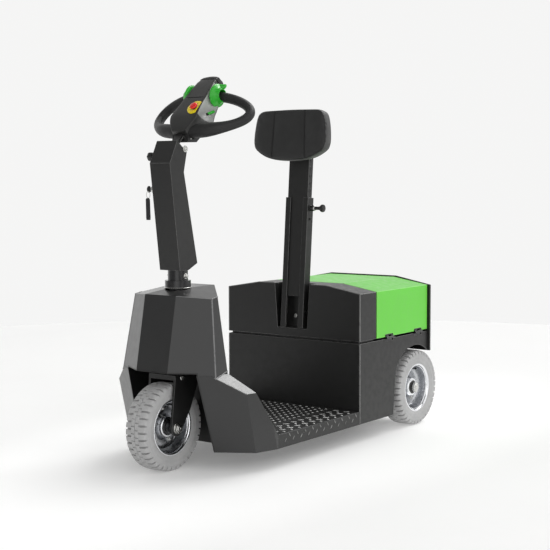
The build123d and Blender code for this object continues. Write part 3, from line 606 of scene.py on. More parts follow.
FRONT = V(676, 0, 135)
REAR_L, REAR_R = V(-392, 239, 135), V(-392, -239, 135)
tyre("tyre_front_treaded", FRONT, "front_tyre", "front_wheel", 0.03)
tyre("tyre_rear_left_treaded", REAR_L, "rear_tyre_left", "rear_wheel_left", 0.11)
tyre("tyre_rear_right_treaded", REAR_R, "rear_tyre_right", "rear_wheel_right", 0.07)
rim("rim_front_bolted", FRONT, 1, "front_rim", "front_wheel", True)
rim("rim_rear_left_bolted", REAR_L, 1, "rear_rim_left", "rear_wheel_left", False)
rim("rim_rear_right_bolted", REAR_R, -1, "rear_rim_right", "rear_wheel_right", False)

# front axle: shaft, washers, chamfered nuts and threaded ends outside the fork
sh = Shape()
sh.lathe([(mm(-53), mm(12)), (mm(53), mm(12))], FRONT, Y, 32, 0)
for side in (-1, 1):
    o = FRONT + Y * mm(side * 52.6)
    sh.lathe([(0, mm(17)), (mm(2.0), mm(17)), (mm(2.5), mm(16.4)), (mm(2.5), mm(9))], o, Y * side, 40, 0)
    sh.lathe([(mm(2.4), mm(14.4)), (mm(2.9), mm(15.4)), (mm(9.6), mm(15.4)), (mm(10.6), mm(13.6)), (mm(10.6), mm(8.2))], o, Y * side, 6, 0, turn=0.3)
    sh.lathe([(mm(2.4), mm(8.6)), (mm(11.4), mm(8.6)), (mm(12.4), mm(7.4)), (mm(12.4), mm(3.0)), (mm(11.0), mm(2.0))], o, Y * side, 28, 0)
piece("front_axle_with_nuts", sh, [M["zinc"]], "steering", ("front_axle",), smooth=30, bevel=0.35)

# nuts on the rear axle's ends
sh = Shape()
for side in (-1, 1):
    o = V(-392, side * 264, 135)
    sh.lathe([(mm(-1), mm(16.5)), (mm(1.2), mm(16.5)), (mm(1.8), mm(15.8)), (mm(1.8), mm(8))], o, Y * side, 36, 0)
    sh.lathe([(mm(1.6), mm(14.4)), (mm(7.6), mm(14.4)), (mm(8.6), mm(12.6)), (mm(8.6), mm(8.4))], o, Y * side, 6, 0, turn=0.2)
    sh.lathe([(mm(1.6), mm(8.6)), (mm(9.6), mm(8.6)), (mm(10.6), mm(7.6)), (mm(10.6), mm(3.0)), (mm(9.0), mm(1.5))], o, Y * side, 28, 0)
piece("rear_axle_nuts", sh, [M["zinc"]], "root", smooth=30, bevel=0.3)


# ================================================================== platform marks
def lozenge(sh, at, along, across, out, length, width, height, top_mat=0, side_mat=1):
    """raised tread mark: pointed oval with a domed top"""
    n = 14
    rings = []
    for k, (s, h) in enumerate(((1.0, -0.3), (0.93, 0.45), (0.72, 0.86), (0.40, 1.0))):
        ring = []
        for j in range(n):
            a = TAU * j / n
            ca, sa = math.cos(a), math.sin(a)
            ring.append(at + along * mm(length / 2 * s * (abs(ca) ** 0.85) * (1 if ca >= 0 else -1)) + across * mm(width / 2 * s * (abs(sa) ** 1.25) * (1 if sa >= 0 else -1)) + out * mm(height * h))
        rings.append(ring)
    sh.skin(rings, top_mat, False, True, [side_mat, top_mat, top_mat])


def stud(sh, at, r, h, top_mat=0, side_mat=1):
    sh.lathe([(mm(-0.3), mm(r)), (mm(h * 0.45), mm(r * 0.92)), (mm(h * 0.85), mm(r * 0.68)), (mm(h), mm(r * 0.34))], at, Z, 10, 0, mats=[side_mat, top_mat, top_mat])


PITCH_X, PITCH_Y = 40.8, 43.0
D1, D2 = Vector((S45, S45, 0)), Vector((-S45, S45, 0))
sh = Shape()
for side in (-1, 1):
    # folded tread-plate borders: marks lean alternately
    for r, y in enumerate((243.0, 200.0)):
        for k in range(12):
            s = 435.6 - PITCH_X * k
            if 14 < s < 452:
                lozenge(sh, V(s, side * y, 106), D2 if side > 0 else D1, D1 if side > 0 else D2, Z, 24, 8.5, 1.5)
    for r, y in enumerate((264.5, 221.5)):
        for k in range(12):
            s = 435.6 - PITCH_X * (k + 0.5)
            if 14 < s < 452:
                lozenge(sh, V(s, side * y, 106), D1 if side > 0 else D2, D2 if side > 0 else D1, Z, 24 if r else 19, 8.0, 1.5)
    for k in range(12):
        for low, s0, z in ((True, 427.0, 83.5), (False, 405.8, 97.0)):
            s = s0 - 42.4 * k
            if 12 < s < 455:
                lean = 1 if low else -1
                al = Vector((-lean * 0.62, 0, 0.785)).normalized()
                ac = al.cross(Y).normalized()
                lozenge(sh, V(s, side * 279, z), al, ac, Y * side, 16, 5.0, 1.0, 2, 1)
piece("tread_plate_marks", sh, [M["mark"], M["tread"], M["mark_side"]], "root", smooth=50)

# studded mat between the borders, with a low rim; the stud tops take the light tread-mark coat, partly a painted glint
sh = Shape()
MAT = (8.0, 452.0, 181.0)
for k in range(17):
    for j in range(-6, 7):
        s = 33.8 + 26.6 * (k - 0)
        y = 5.3 + 26.7 * (j) - 1.0
        if s < MAT[1] - 8 and abs(y) < MAT[2] - 9:
            stud(sh, V(s, y, 107.4), 5.2, 2.0)
outline = []
for cx, cy, a0 in ((MAT[1] - 8, MAT[2] - 8, 0), (MAT[0] + 8, MAT[2] - 8, 90), (MAT[0] + 8, -MAT[2] + 8, 180), (MAT[1] - 8, -MAT[2] + 8, 270)):
    for q in range(5):
        a = math.radians(a0 + 22.5 * q)
        outline.append((cx + 8 * math.cos(a), cy + 8 * math.sin(a)))


def inset_ring(d, z):
    return [V(x - math.copysign(d, x - 230), y - math.copysign(d, y), z) for x, y in outline]


sh.skin([inset_ring(0, 105.8), inset_ring(0, 107.2), inset_ring(0.7, 107.9), inset_ring(3.4, 107.9), inset_ring(4.0, 107.4)], 1)
piece("studded_deck_mat", sh, [M["mark"], M["tread"]], "root", smooth=50)


# ================================================================== head
HO = (518.0, 1090.0)


def H(u, y, w):
    """point in the head's frame: u up the incline, w out of the panel"""
    return V(HO[0] - u * S45 + w * S45, y, HO[1] + u * S45 + w * S45)


HU, HW = Vector((-S45, 0, S45)), Vector((S45, 0, S45))

# cross sections: u, half width of panel, w of panel, cheek hollow, half width of base, w of base edge, half width below, w below
HEAD = (
    (-95.6, 23, 15, 0.0, 26, 7, 22, 2),
    (-94, 27.5, 18.6, 0.0, 30.5, 3, 26, -5),
    (-88, 31.5, 21.6, 0.0, 37.5, 0, 31, -12),
    (-78, 38.0, 25.0, 0.3, 48, -3, 39, -20),
    (-66, 45.0, 28.4, 1.5, 62, -6, 50, -27),
    (-54, 50.0, 31.2, 3.5, 76, -9, 62, -30),
    (-45, 51.8, 33.2, 5.0, 82, -12, 70, -30),
    (-34, 50.0, 34.6, 6.0, 82, -14, 71, -30),
    (-20, 47.6, 35.0, 7.5, 77, -15, 66, -30),
    (-10, 45.5, 35.2, 8.5, 72, -16, 62, -30),
    (10, 43.0, 35.4, 9.5, 65, -16, 55, -30),
    (35.2, 41.6, 35.4, 9.0, 60, -15, 51, -29.6),
    (36.0, 41.5, 35.4, 9.0, 59.8, -15, 51, -29.5),
    (38.4, 41.4, 35.4, 9.0, 59.4, -15, 50, -29.4),
    (39.2, 41.3, 35.4, 9.0, 59.2, -15, 50, -29.4),
    (60, 39.4, 35.0, 7.5, 54, -13, 45, -28.5),
    (85, 37.0, 34.4, 5.5, 46, -9, 39, -27.4),
    (108, 33.8, 33.6, 3.5, 40.0, -5, 34, -26.4),
    (126, 31.0, 31.6, 2.0, 36.0, -3, 30, -22),
    (136, 28.6, 29.6, 1.5, 33.2, -2, 28, -18),
    (144, 25.2, 24.6, 0.8, 29.0, -1, 24, -12),
    (149, 20.0, 17.6, 0.3, 23.0, 0, 18, -6),
    (151, 13.5, 10.5, 0.0, 15.4, 1.5, 12, -1),
)


def head_ring(u, yt, wt, hollow, yb, wb, yl, wl):
    groove = 1.6 if 35.8 <= u <= 38.6 else 0.0
    round_ = max(0.0, u - 116) * 0.15          # the nose's top is crowned
    half = [(0, wt - groove), (20, wt - groove), (33, wt - groove), (33.6, wt), (yt - 3.2, wt), (yt - 0.9, wt - 0.5), (yt + 0.5, wt - 2.2)]
    if yt < 36:
        half = [(0, wt), (yt * 0.3, wt - 0.06 * round_), (yt * 0.6, wt - 0.3 * round_), (yt * 0.75, wt - 0.5 * round_), (yt - 3.2, wt - 0.8 * round_), (yt - 0.9, wt - 0.5 - round_), (yt + 0.5, wt - 2.2 - round_)]
    for t in (0.2, 0.4, 0.6, 0.8):
        y = yt + (yb - yt) * t ** 1.6
        w = wt - 2.2 - round_ + (wb - wt + 2.2 + round_) * t
        half.append((y - hollow * math.sin(math.pi * t) * 0.55, w - hollow * math.sin(math.pi * t) * 0.4))
    half += [(yb, wb), (yb - 0.4, wb - 3), (yl + 1.6, wl + 3.0), (yl - 1, wl + 0.6), (yl - 4, wl), (yl * 0.4, wl), (0, wl)]
    left = [H(u, y, w) for y, w in half]
    right = [H(u, -y, w) for y, w in reversed(half[1:-1])]
    return left + right


sh = Shape()
rings = [head_ring(*row) for row in HEAD]
# the nose's dark cap begins a little before its end
sh.skin(rings, 0, False, True)
ring_n = len(rings[0])
# cheek rows take the silver coat with its painted highlight and painted shade
for i, row in enumerate(HEAD[:-1]):
    if -36 < row[0] < 104:
        for j in list(range(6, 11)) + list(range(ring_n - 11, ring_n - 6)):
            sh.m[i * ring_n + j] = 1
piece("tiller_head_moulding", sh, [M["head"], M["cheek"]], "head", ("tiller_head",), smooth=24)

# glossy cap band over the nose
sh = Shape()
grow = []
for row in HEAD:
    if row[0] >= 126:
        u, yt, wt, hol, yb, wb, yl, wl = row
        k = 1.7
        grow.append(head_ring(u + (k if u > 148 else 0) * 0.5, yt + k, wt + k * 0.7, hol, yb + k, wb, yl + k, wl - k * 0.6))
first = [row for row in HEAD if row[0] >= 126][0]
u, yt, wt, hol, yb, wb, yl, wl = first
start = head_ring(u - 1.2, yt + 0.4, wt + 0.1, hol, yb + 0.4, wb, yl + 0.4, wl)
sh.skin([start] + grow, 0, False, True)
piece("tiller_nose_cap", sh, [M["cap"]], "head", smooth=28)

# hand loop: thin in the hand, thicker where it grows out of the foot
LA, LB = 178.0, 80.0
sh = Shape()
for side in (-1, 1):
    pts, rad = [], []
    steps = 64
    for k in range(steps + 1):
        a = math.radians(-84.5 + 164.5 * k / steps)
        y = LA * math.cos(a)
        u = LB * math.sin(a)
        t = min(1.0, max(0.0, 1 - (y - 58) / 104.0))
        t = t * t * (3 - 2 * t)
        # fairing towards the head's foot
        f = min(1.0, max(0.0, (112 - y) / 62.0)) if a < 0 else 0.0
        f = f * f * (3 - 2 * f)
        r = 15.0 + (8.6 * t if a < 0 else 0.8 * t) - 1.4 * f
        du, dw = 4.5 * f, -4.0 * f
        pts.append(Vector((XW + mm(HO[0] - (u + du) * S45 + dw * S45 - 0.00145 * y * y), mm(side * y), mm(HO[1] + (u + du + dw) * S45 - 0.00025 * y * y))))
        rad.append(mm(r))
    sh.tube(pts, rad, 24, 0)
piece("hand_loop_grip", sh, [M["grip"]], "head", ("loop_handle",), smooth=40)

# thumb wheels: dish against the head, hub on the loop, a thumb wing at the top
TU, TW = 75.0, 5.0
sh = Shape()
for side in (-1, 1):
    o = H(TU, 0, TW)
    prof = [(45.5, 17.5), (45.5, 31), (47.0, 34.4), (49.0, 36.6), (51.0, 37.0), (53.0, 36.2), (54.6, 34.2), (56.6, 31.0), (59.0, 27.6), (62.0, 24.6), (66.5, 22.2), (70.0, 21.2), (71.6, 20.2), (72.0, 18.6), (71.0, 17.4), (60, 17.0)]
    ref = HU
    axis = Y * side
    other = axis.cross(ref)
    rings = []
    seg = 72
    for a_, r_ in prof:
        ring = []
        for k in range(seg):
            ang = TAU * k / seg
            d = ref * math.cos(ang) + other * math.sin(ang)
            swell = 1.0
            if r_ > 24:
                # the dish is a little taller than wide
                swell = 1.0 + 0.03 * math.cos(2 * ang)
            ring.append(o + axis * mm(a_) + d * mm(r_ * swell))
        rings.append(ring)
    sh.skin(rings, 0, True)
    # wing: three ellipses from the dish's rim, outwards and slightly forward
    wing = []
    for yy, uu, ww, eu, ew in ((47, 98, 12, 9, 14), (50, 100, 13, 10.5, 14), (55, 101.5, 13.5, 10.5, 11), (60, 103, 14, 9.6, 8.4), (65, 105, 14, 9, 6.6), (69, 106.5, 14, 8.2, 5.4), (71, 107, 14, 6.4, 3.8), (71.8, 107.2, 14, 3.2, 1.8)):
        ring = []
        for k in range(20):
            a = TAU * k / 20
            ring.append(H(uu + eu * math.cos(a), side * yy, ww + ew * math.sin(a) + 0.10 * eu * math.cos(a)))
        wing.append(ring)
    sh.skin(wing, 0)
piece("thumb_wheel_pair", sh, [M["green"]], "head", ("thumb_wheels",), smooth=40)

# yellow shield under the stop button, clipped by the panel's ridge
sh = Shape()
outline = []
for k in range(48):
    a = TAU * k / 48
    r = 26.0 + 3.0 * max(0.0, math.cos(a - math.pi * 0.93)) ** 3
    uu, yy = -8 + r * math.cos(a), 26 + r * math.sin(a)
    outline.append((uu, min(yy, 40.6)))


def shield_ring(k, w):
    cu, cy = -8.0, 24.0
    return [H(cu + (a - cu) * k, cy + (b - cy) * k, w) for a, b in outline]


sh.skin([shield_ring(1.0, 34.2), shield_ring(1.0, 36.1), shield_ring(0.965, 36.7), shield_ring(0.62, 36.9), shield_ring(0.58, 36.5)], 0)
piece("stop_button_shield", sh, [M["yellow"]], "head", smooth=35)

sh = Shape()
o = H(-12, 28, 0)
sh.lathe([(mm(34.6), mm(9.2)), (mm(38.0), mm(8.6)), (mm(38.6), mm(7.6)), (mm(42.2), mm(7.4))], o, HW, 32, 1)
sh.lathe([(mm(41.6), mm(7.6)), (mm(41.8), mm(12.0)), (mm(43.4), mm(12.7)), (mm(45.4), mm(12.6)), (mm(47.2), mm(11.6)), (mm(48.6), mm(9.4)), (mm(49.4), mm(6.2)), (mm(49.6), mm(2.0))], o, HW, 40, 0)
piece("stop_button_mushroom", sh, [M["red"], M["spindle"]], "head", ("stop_button",), smooth=50)

# small lens low on each cheek
head_tree = BVHTree.FromObject(bpy.data.objects["tiller_head_moulding"], bpy.context.evaluated_depsgraph_get())
sh = Shape()
for side in (-1, 1):
    def on_cheek(u, w):
        hit = head_tree.ray_cast(H(u, side * 120, w), Vector((0, -side, 0)))
        return (hit[0], hit[1]) if hit[0] is not None else (H(u, side * 60, w), Vector((0, side, 0)))
    c0, n0 = on_cheek(8, -6.5)
    c1, _ = on_cheek(-10, 4.0)
    c2, _ = on_cheek(24, -13.0)
    along = (c2 - c1).normalized()
    across = along.cross(n0).normalized()
    out = across.cross(along).normalized()
    if out.dot(n0) < 0:
        out = -out
    for lo, hi, mt in ((-17.5, -10.5, 1), (-10.0, 17.0, 0)):
        rings = []
        for k, (grow_, h) in enumerate(((0.0, -3.0), (0.0, 1.6), (-0.9, 2.4))):
            ring = []
            for (sa, sb) in ((lo - grow_, -1), (hi + grow_, -1), (hi + grow_, 1), (lo - grow_, 1)):
                ring.append(c0 + along * mm(sa) + across * mm(sb * (4.8 + grow_)) + out * mm(h))
            rings.append(ring)
        sh.skin(rings, mt)
piece("cheek_lens_pair", sh, [M["green"], M["cap"]], "head", smooth=30, bevel=0.8)

# bright adjusting slot strip on the arm, bolts at its clamp
sh = Shape()
for side in (-1, 1):
    a, b = V(602.6, side * 13.2, 1004.0), V(587, side * 13.2, 1020.4)
    d = (b - a).normalized()
    sh.box((a + b) / 2, ((b - a).length / 2, mm(1.0), mm(1.5)), (d, Y, d.cross(Y)))
    # clevis pin's end in the bracket's pocket
    sh.lathe([(mm(-3), mm(5.2)), (mm(2.6), mm(5.2)), (mm(3.4), mm(4.4)), (mm(3.4), mm(1.6)), (mm(2.2), mm(0.8))], V(570.4, side * 26, 1014.0), Y * side, 24)
piece("arm_slot_trim", sh, [M["zinc"]], "head", smooth=30, bevel=0.3)

# ================================================================== column furniture
sh = Shape()
sh.bolt(V(613, 40.5, 980), Y, 7.2, 5.0, 0, True, 0.2, 2.0)
sh.bolt(V(613, -40.5, 980), -Y, 7.2, 5.0, 0, True, 0.4)
for side in (-1, 1):
    # ends of the clamping bolt through the neck, with nut and washer
    sh.bolt(V(605, side * 31.0, 593), Y * side, 6.2, 5.6, 0, True, 0.25, 3.0)
piece("column_and_neck_bolts", sh, [M["zinc"]], "steering", ("neck_bolt",), smooth=30, bevel=0.3)

# bright wiper ring where the spindle leaves the cowl
sh = Shape()
ring_c = V(605, 0, 557)
sh.lathe([(mm(-1.0), mm(40.8)), (mm(-0.4), mm(42.4)), (mm(0.6), mm(42.8)), (mm(1.4), mm(42.2)), (mm(1.6), mm(40.8))], ring_c, Z, 64, 0, loop=True)
piece("spindle_wiper_ring", sh, [M["zinc"]], "steering", smooth=40)

# key in its switch, split ring and a plain rubber tag
sh = Shape()
kc = V(658, -49.5, 858)
sh.lathe([(mm(0), mm(9.6)), (mm(2.6), mm(9.6)), (mm(3.2), mm(8.8)), (mm(3.2), mm(2.5))], kc, -Y, 28, 0)
sh.box(kc + Vector((0, -mm(7), 0)), (mm(1.1), mm(6), mm(4.0)), mat=0)
bow = []
for k in range(24):
    a = TAU * k / 24
    bow.append(kc + Vector((-mm(1.3), -mm(17.5 + 8.4 * math.cos(a)), mm(10.2 * math.sin(a)))))
sh.prism(bow, X * mm(2.6), 1)
ringc = kc + Vector((mm(1.5), -mm(20), -mm(16.5)))
pts = [ringc + Vector((mm(2.0 * math.cos(TAU * k / 36)), mm(9 * math.cos(TAU * k / 36)), mm(10.4 * math.sin(TAU * k / 36)))) for k in range(36)]
sh.tube(pts, mm(0.9), 8, 0, loop=True)
tag = []
for y, z in ((-5, 0), (5, 0), (7.5, -4), (8.0, -60), (7.0, -67), (-7.0, -67), (-8.0, -60), (-7.5, -4)):
    tag.append(kc + Vector((mm(2.0 + 0.03 * z), mm(-20 + y), mm(-27 + z))))
sh.prism(tag, Vector((mm(3.2), 0, 0)), 2)
piece("key_with_ring_and_tag", sh, [M["zinc"], M["knob"], M["tag"]], "steering", smooth=30, bevel=0.45)

# clamp knob with lobes
sh = Shape()
o = V(650, -40.5, 957)
sh.lathe([(mm(-0.5), mm(9)), (mm(1.6), mm(9)), (mm(1.8), mm(6)), (mm(14), mm(6))], o, -Y, 24, 1)
rings = []
for a_, r_ in ((13.0, 8.5), (14.0, 11.6), (17, 13.4), (27, 13.9), (30, 12.6), (31.6, 9.0), (32, 4.0)):
    rings.append([o - Y * mm(a_) + (X * math.cos(TAU * k / 60) + Z * math.sin(TAU * k / 60)) * mm(r_ * (1 + 0.055 * math.cos(6 * TAU * k / 60))) for k in range(60)])
sh.skin(rings, 0)
piece("clamp_knob_lobed", sh, [M["knob"], M["zinc"]], "steering", ("clamp_knob",), smooth=35)

# ================================================================== fork crown, cowl welds and fixings
sh = Shape()
for side in (-1, 1):
    sh.lathe([(mm(-0.6), mm(8.0)), (mm(1.2), mm(8.0)), (mm(2.4), mm(6.8)), (mm(2.8), mm(4.6)), (mm(2.8), mm(3.0)), (mm(1.0), mm(2.6)), (mm(1.0), mm(0.5))], V(652, side * 53, 287), Y * side, 28, 0)
piece("fork_crown_bolts", sh, [M["zinc"]], "steering", smooth=30, bevel=0.3)

sh = Shape()
sh.lathe([(mm(0), mm(58)), (mm(7), mm(58)), (mm(8), mm(57)), (mm(8), mm(34)), (mm(0), mm(34))], V(605, 0, 296.4), Z, 56, 0, loop=True)
for k in range(6):
    a = TAU * (k + 0.5) / 6
    sh.bolt(V(605 + 46 * math.cos(a), 46 * math.sin(a), 304.2), Z, 5.0, 3.4, 1, False, a)
piece("slewing_ring_flange", sh, [M["frame"], M["zinc"]], "steering", smooth=30, bevel=0.4)


def weld(sh, a, b, r, pitch, lift):
    """row of overlapping beads"""
    a, b = Vector(a), Vector(b)
    d = (b - a)
    n = max(2, int(d.length / pitch))
    d = d.normalized()
    side = d.cross(lift).normalized()
    for k in range(n + 1):
        c = a.lerp(b, k / n) + lift * mm(rnd.uniform(-0.2, 0.2))
        rr = r * rnd.uniform(0.88, 1.12)
        rings = []
        for t, s in ((-0.9, 0.44), (-0.5, 0.87), (0.0, 1.0), (0.5, 0.87), (0.9, 0.44)):
            rings.append([c + d * (t * rr * 1.25) + (side * math.cos(TAU * j / 10) + lift * 0.75 * math.sin(TAU * j / 10)) * rr * s for j in range(10)])
        sh.skin(rings, 0)


def corner(*planes):
    """meeting point of three planes given as point (station, y, z) and normal"""
    rows, rhs = [], []
    for p, n in planes:
        n = Vector(n)
        q = V(*p)
        rows.append(n)
        rhs.append(n.dot(q))
    return Matrix((rows[0], rows[1], rows[2])).inverted() @ Vector(rhs)


def fold(sh, a, b, r, inward, mat=0):
    """rounded outer fold of the sheet: a slim bar, sunk so that only its crest shows"""
    a, b = Vector(a) + inward * (r * 0.72), Vector(b) + inward * (r * 0.72)
    n = 6
    sh.tube([a.lerp(b, k / n) for k in range(n + 1)], r, 12, mat)


C_FRONT = ((687, 62, 539), (0.9825, 0, 0.186))
C_TOP_FRONT = ((687, 0, 539), (0.270, 0, 0.963))
L_SIDE = ((470, 279, 62), (0.2514, 0.9655, -0.0684))
C_LEFT = ((630, 155, 531), (-0.019, 0.991, 0.134))
C_FRONT_LEFT = ((687, 62, 539), (0.836, 0.526, 0.158))
C_TOP_LEFT = ((630, 155, 531), (0.143, 0.171, 0.975))
C_REAR_LEFT = ((603, 155, 535), (-0.665, 0.737, 0.121))
L_SHOULDER = ((626, 222, 272.6), (0.1728, 0.6299, 0.7572))
L_FRONT = ((620.5, 198.7, 193.6), (0.8331, 0.5122, -0.2089))
# weld beads along the cowl's corners, in the lighter edge coat: a painted highlight
sh = Shape()
for side in (-1, 1):
    def mir(p, n):
        return ((p[0], side * p[1], p[2]), (n[0], side * n[1], n[2]))
    top_a = corner(mir(*C_LEFT), mir(*C_FRONT_LEFT), mir(*C_TOP_LEFT))
    top_b = corner(mir(*C_LEFT), mir(*C_REAR_LEFT), mir(*C_TOP_LEFT))
    weld(sh, top_a, top_b, mm(1.5), mm(2.2), Vector((0, side * 0.6, 0.8)))
    low_a = corner(mir(*C_LEFT), mir(*C_FRONT_LEFT), mir(*L_SHOULDER))
    low_b = corner(mir(*C_LEFT), mir(*C_REAR_LEFT), mir(*L_SHOULDER))
    weld(sh, low_a, low_b, mm(2.2), mm(2.8), Vector((0, side * 0.7, 0.7)))
piece("cowl_weld_beads", sh, [M["cowl_edge_highlight"]], "root", smooth=50)

# rounded folds of the cowl, in the lighter edge coat: a painted highlight line along each fold
sh = Shape()
for side in (-1, 1):
    def mir(p, n):
        return ((p[0], side * p[1], p[2]), (n[0], side * n[1], n[2]))
    def inward(*faces):
        v_ = Vector((0, 0, 0))
        for p_, n_ in faces:
            v_ -= Vector(mir(p_, n_)[1])
        return v_.normalized()
    # between chamfer and side, from the top corner down to the leg's shoulder
    a = corner(mir(*C_LEFT), mir(*C_FRONT_LEFT), mir(*C_TOP_LEFT))
    b = corner(mir(*C_LEFT), mir(*C_FRONT_LEFT), mir(*L_SHOULDER))
    fold(sh, a, b, mm(2.5), inward(C_LEFT, C_FRONT_LEFT))
    # leg: shoulder to front, shoulder to side, front to side
    c_ = corner(mir(*L_SHOULDER), mir(*L_FRONT), mir(*L_SIDE))
    d_ = corner(mir(*L_SHOULDER), mir(*L_FRONT), mir(*C_FRONT_LEFT))
    fold(sh, d_, c_, mm(1.5), inward(L_SHOULDER, L_FRONT))
    # top edge of the chamfer
    g_ = corner(mir(*C_FRONT_LEFT), mir(*C_FRONT), mir(*C_TOP_FRONT))
    h_ = corner(mir(*C_FRONT_LEFT), mir(*C_TOP_LEFT), mir(*C_TOP_FRONT))
    fold(sh, g_, h_, mm(1.0), inward(C_FRONT_LEFT, C_TOP_FRONT))
    fold(sh, h_, a, mm(1.0), inward(C_FRONT_LEFT, C_TOP_LEFT))
piece("cowl_rounded_folds", sh, [M["cowl_edge_highlight"]], "root", smooth=50)

# upright folds of the box and its housing, and the housing's roof folds, in a lighter coat: a painted highlight along
# each fold
sh = Shape()
for side in (-1, 1):
    inw = Vector((-1, -side, 0)).normalized()
    fold(sh, V(0, side * 279, 64), V(0, side * 279, 334), mm(2.6), inw)
    fold(sh, V(0, side * 279, 343.6), V(0, side * 279, 502.4), mm(2.6), inw)
    # along the front edge of the roof, outside the recess
    fold(sh, V(0, side * 278.4, 503), V(0, side * 141.5, 526), mm(1.6), Vector((-1, 0, -1)).normalized())
    fold(sh, V(0, side * 141.5, 526), V(0, side * 79, 526), mm(1.6), Vector((-1, 0, -1)).normalized())
    # eaves
    fold(sh, V(-1, side * 279, 503), V(-100, side * 279, 503), mm(1.6), Vector((0, -side * 0.75, -0.66)))
piece("box_upright_folds", sh, [M["box_edge_highlight"]], "root", smooth=50)

# ================================================================== mast and pad
ML = Vector((mm(-36), 0, mm(453)))
MU = ML.normalized()
MF = Vector((MU.z, 0, -MU.x))          # forward, square to the mast


def MP(forward, y, s):
    """point of the mast: forward of its front face, width, distance up from its foot"""
    return V(5, y, 371) + MU * mm(s) + MF * mm(forward)


sh = Shape()
# a flat countersunk head, so that the seat tube slides past it
sh.lathe([(-mm(0.5), mm(7.6)), (mm(0.2), mm(7.6)), (mm(0.6), mm(7.2)), (mm(0.6), mm(3.6)), (mm(0.1), mm(3.4)), (mm(0.1), mm(0.4))], MP(-30.5, -6.6, 43), MF, 28, 0)
for side in (-1, 1):
    # screws that hold the sliding shoes, and the foot's bolts
    sh.socket_screw(MP(-17, side * 47, 380), Y * side, 4.2, 2.6, 1)
    sh.socket_screw(MP(-17, side * 47, 60), Y * side, 4.2, 2.6, 1)
    sh.bolt(V(-34, side * 36, 379), Z, 5.2, 4.0, 0, True, 0.3)
piece("mast_screws", sh, [M["zinc"], M["spindle"]], "root", smooth=30, bevel=0.3)

# indexing plunger: flanged body, waisted pull knob
sh = Shape()
o = MP(-17, 47, 418)
sh.lathe([(mm(-1), mm(12.5)), (mm(1.6), mm(12.5)), (mm(2.4), mm(11.6)), (mm(2.4), mm(9.4))], o, Y, 6, 1)
sh.lathe([(mm(2.2), mm(9.8)), (mm(15), mm(9.6)), (mm(16), mm(8.8)), (mm(16), mm(7.0))], o, Y, 32, 1)
sh.lathe([(mm(15.6), mm(8.6)), (mm(19.6), mm(8.6)), (mm(20.4), mm(7.8)), (mm(20.4), mm(4.2)), (mm(30), mm(4.0))], o, Y, 32, 0)
sh.lathe([(mm(20.0), mm(5.8)), (mm(34), mm(5.8)), (mm(38), mm(6.6)), (mm(42), mm(9.0)), (mm(45.5), mm(12.0)), (mm(48), mm(13.2)), (mm(52), mm(13.4)), (mm(54.8), mm(12.6)), (mm(56.4), mm(10.0)), (mm(57), mm(4.0))], o, Y, 36, 1)
piece("indexing_plunger", sh, [M["zinc"], M["knob"]], "root", ("mast_plunger",), smooth=35)

# index holes up the sliding tube: pressed bushes, each bore a shallow dark disc that paints in the hole's shade
sh = Shape()
for k in range(6):
    s = 478 + 26 * k
    for side in (-1, 1):
        o = MP(-17, side * 42, s)
        sh.lathe([(mm(-0.6), mm(6.2)), (mm(0.5), mm(6.2)), (mm(0.9), mm(5.8)), (mm(0.9), mm(4.9)), (mm(0.2), mm(4.6)), (mm(0.2), mm(1.0))], o, Y * side, 24, 0, mats=[0, 0, 0, 1, 1])
piece("mast_index_bushes", sh, [M["spindle"], M["frame"]], "lean_seat", smooth=35)

# end cap of the sliding tube and the plate's rivets
sh = Shape()
for yy in (-1, 1):
    for ss in (620, 704):
        sh.socket_screw(MP(20.2, yy * 78, ss), -MF, 4.2, 2.4)
ring = []
for k, (a, b) in enumerate(((-1, -1), (1, -1), (1, 1), (-1, 1))):
    ring.append(MP(-17 + a * 12.4, b * 41.9, 689.2))
ring2 = [MP(-17 + a * 12.4, b * 41.9, 692.4) for a, b in ((-1, -1), (1, -1), (1, 1), (-1, 1))]
ring3 = [MP(-17 + a * 11.2, b * 40.6, 693.6) for a, b in ((-1, -1), (1, -1), (1, 1), (-1, 1))]
sh.skin([ring, ring2, ring3], 1)
piece("mast_cap_and_screws", sh, [M["zinc"], M["knob"]], "lean_seat", smooth=30, bevel=0.3)

PAD_OUT = [(-150, 650), (-147, 690), (-140, 722), (-132, 738), (-120, 745), (-100, 748), (0, 749), (100, 748), (120, 745), (132, 738), (140, 722), (147, 690), (150, 650),
           (147, 628), (137, 612), (102, 592), (60, 581.5), (0, 578), (-60, 581.5), (-102, 592), (-137, 612), (-147, 628)]


def smooth_loop(pts, per):
    """closed Catmull-Rom through the points"""
    out = []
    n = len(pts)
    for i in range(n):
        p0, p1, p2, p3 = (Vector(pts[(i + k - 1) % n]) for k in range(4))
        for k in range(per):
            t = k / per
            out.append(0.5 * ((2 * p1) + (p2 - p0) * t + (2 * p0 - 5 * p1 + 4 * p2 - p3) * t * t + (3 * p1 - p0 - 3 * p2 + p3) * t ** 3))
    return out


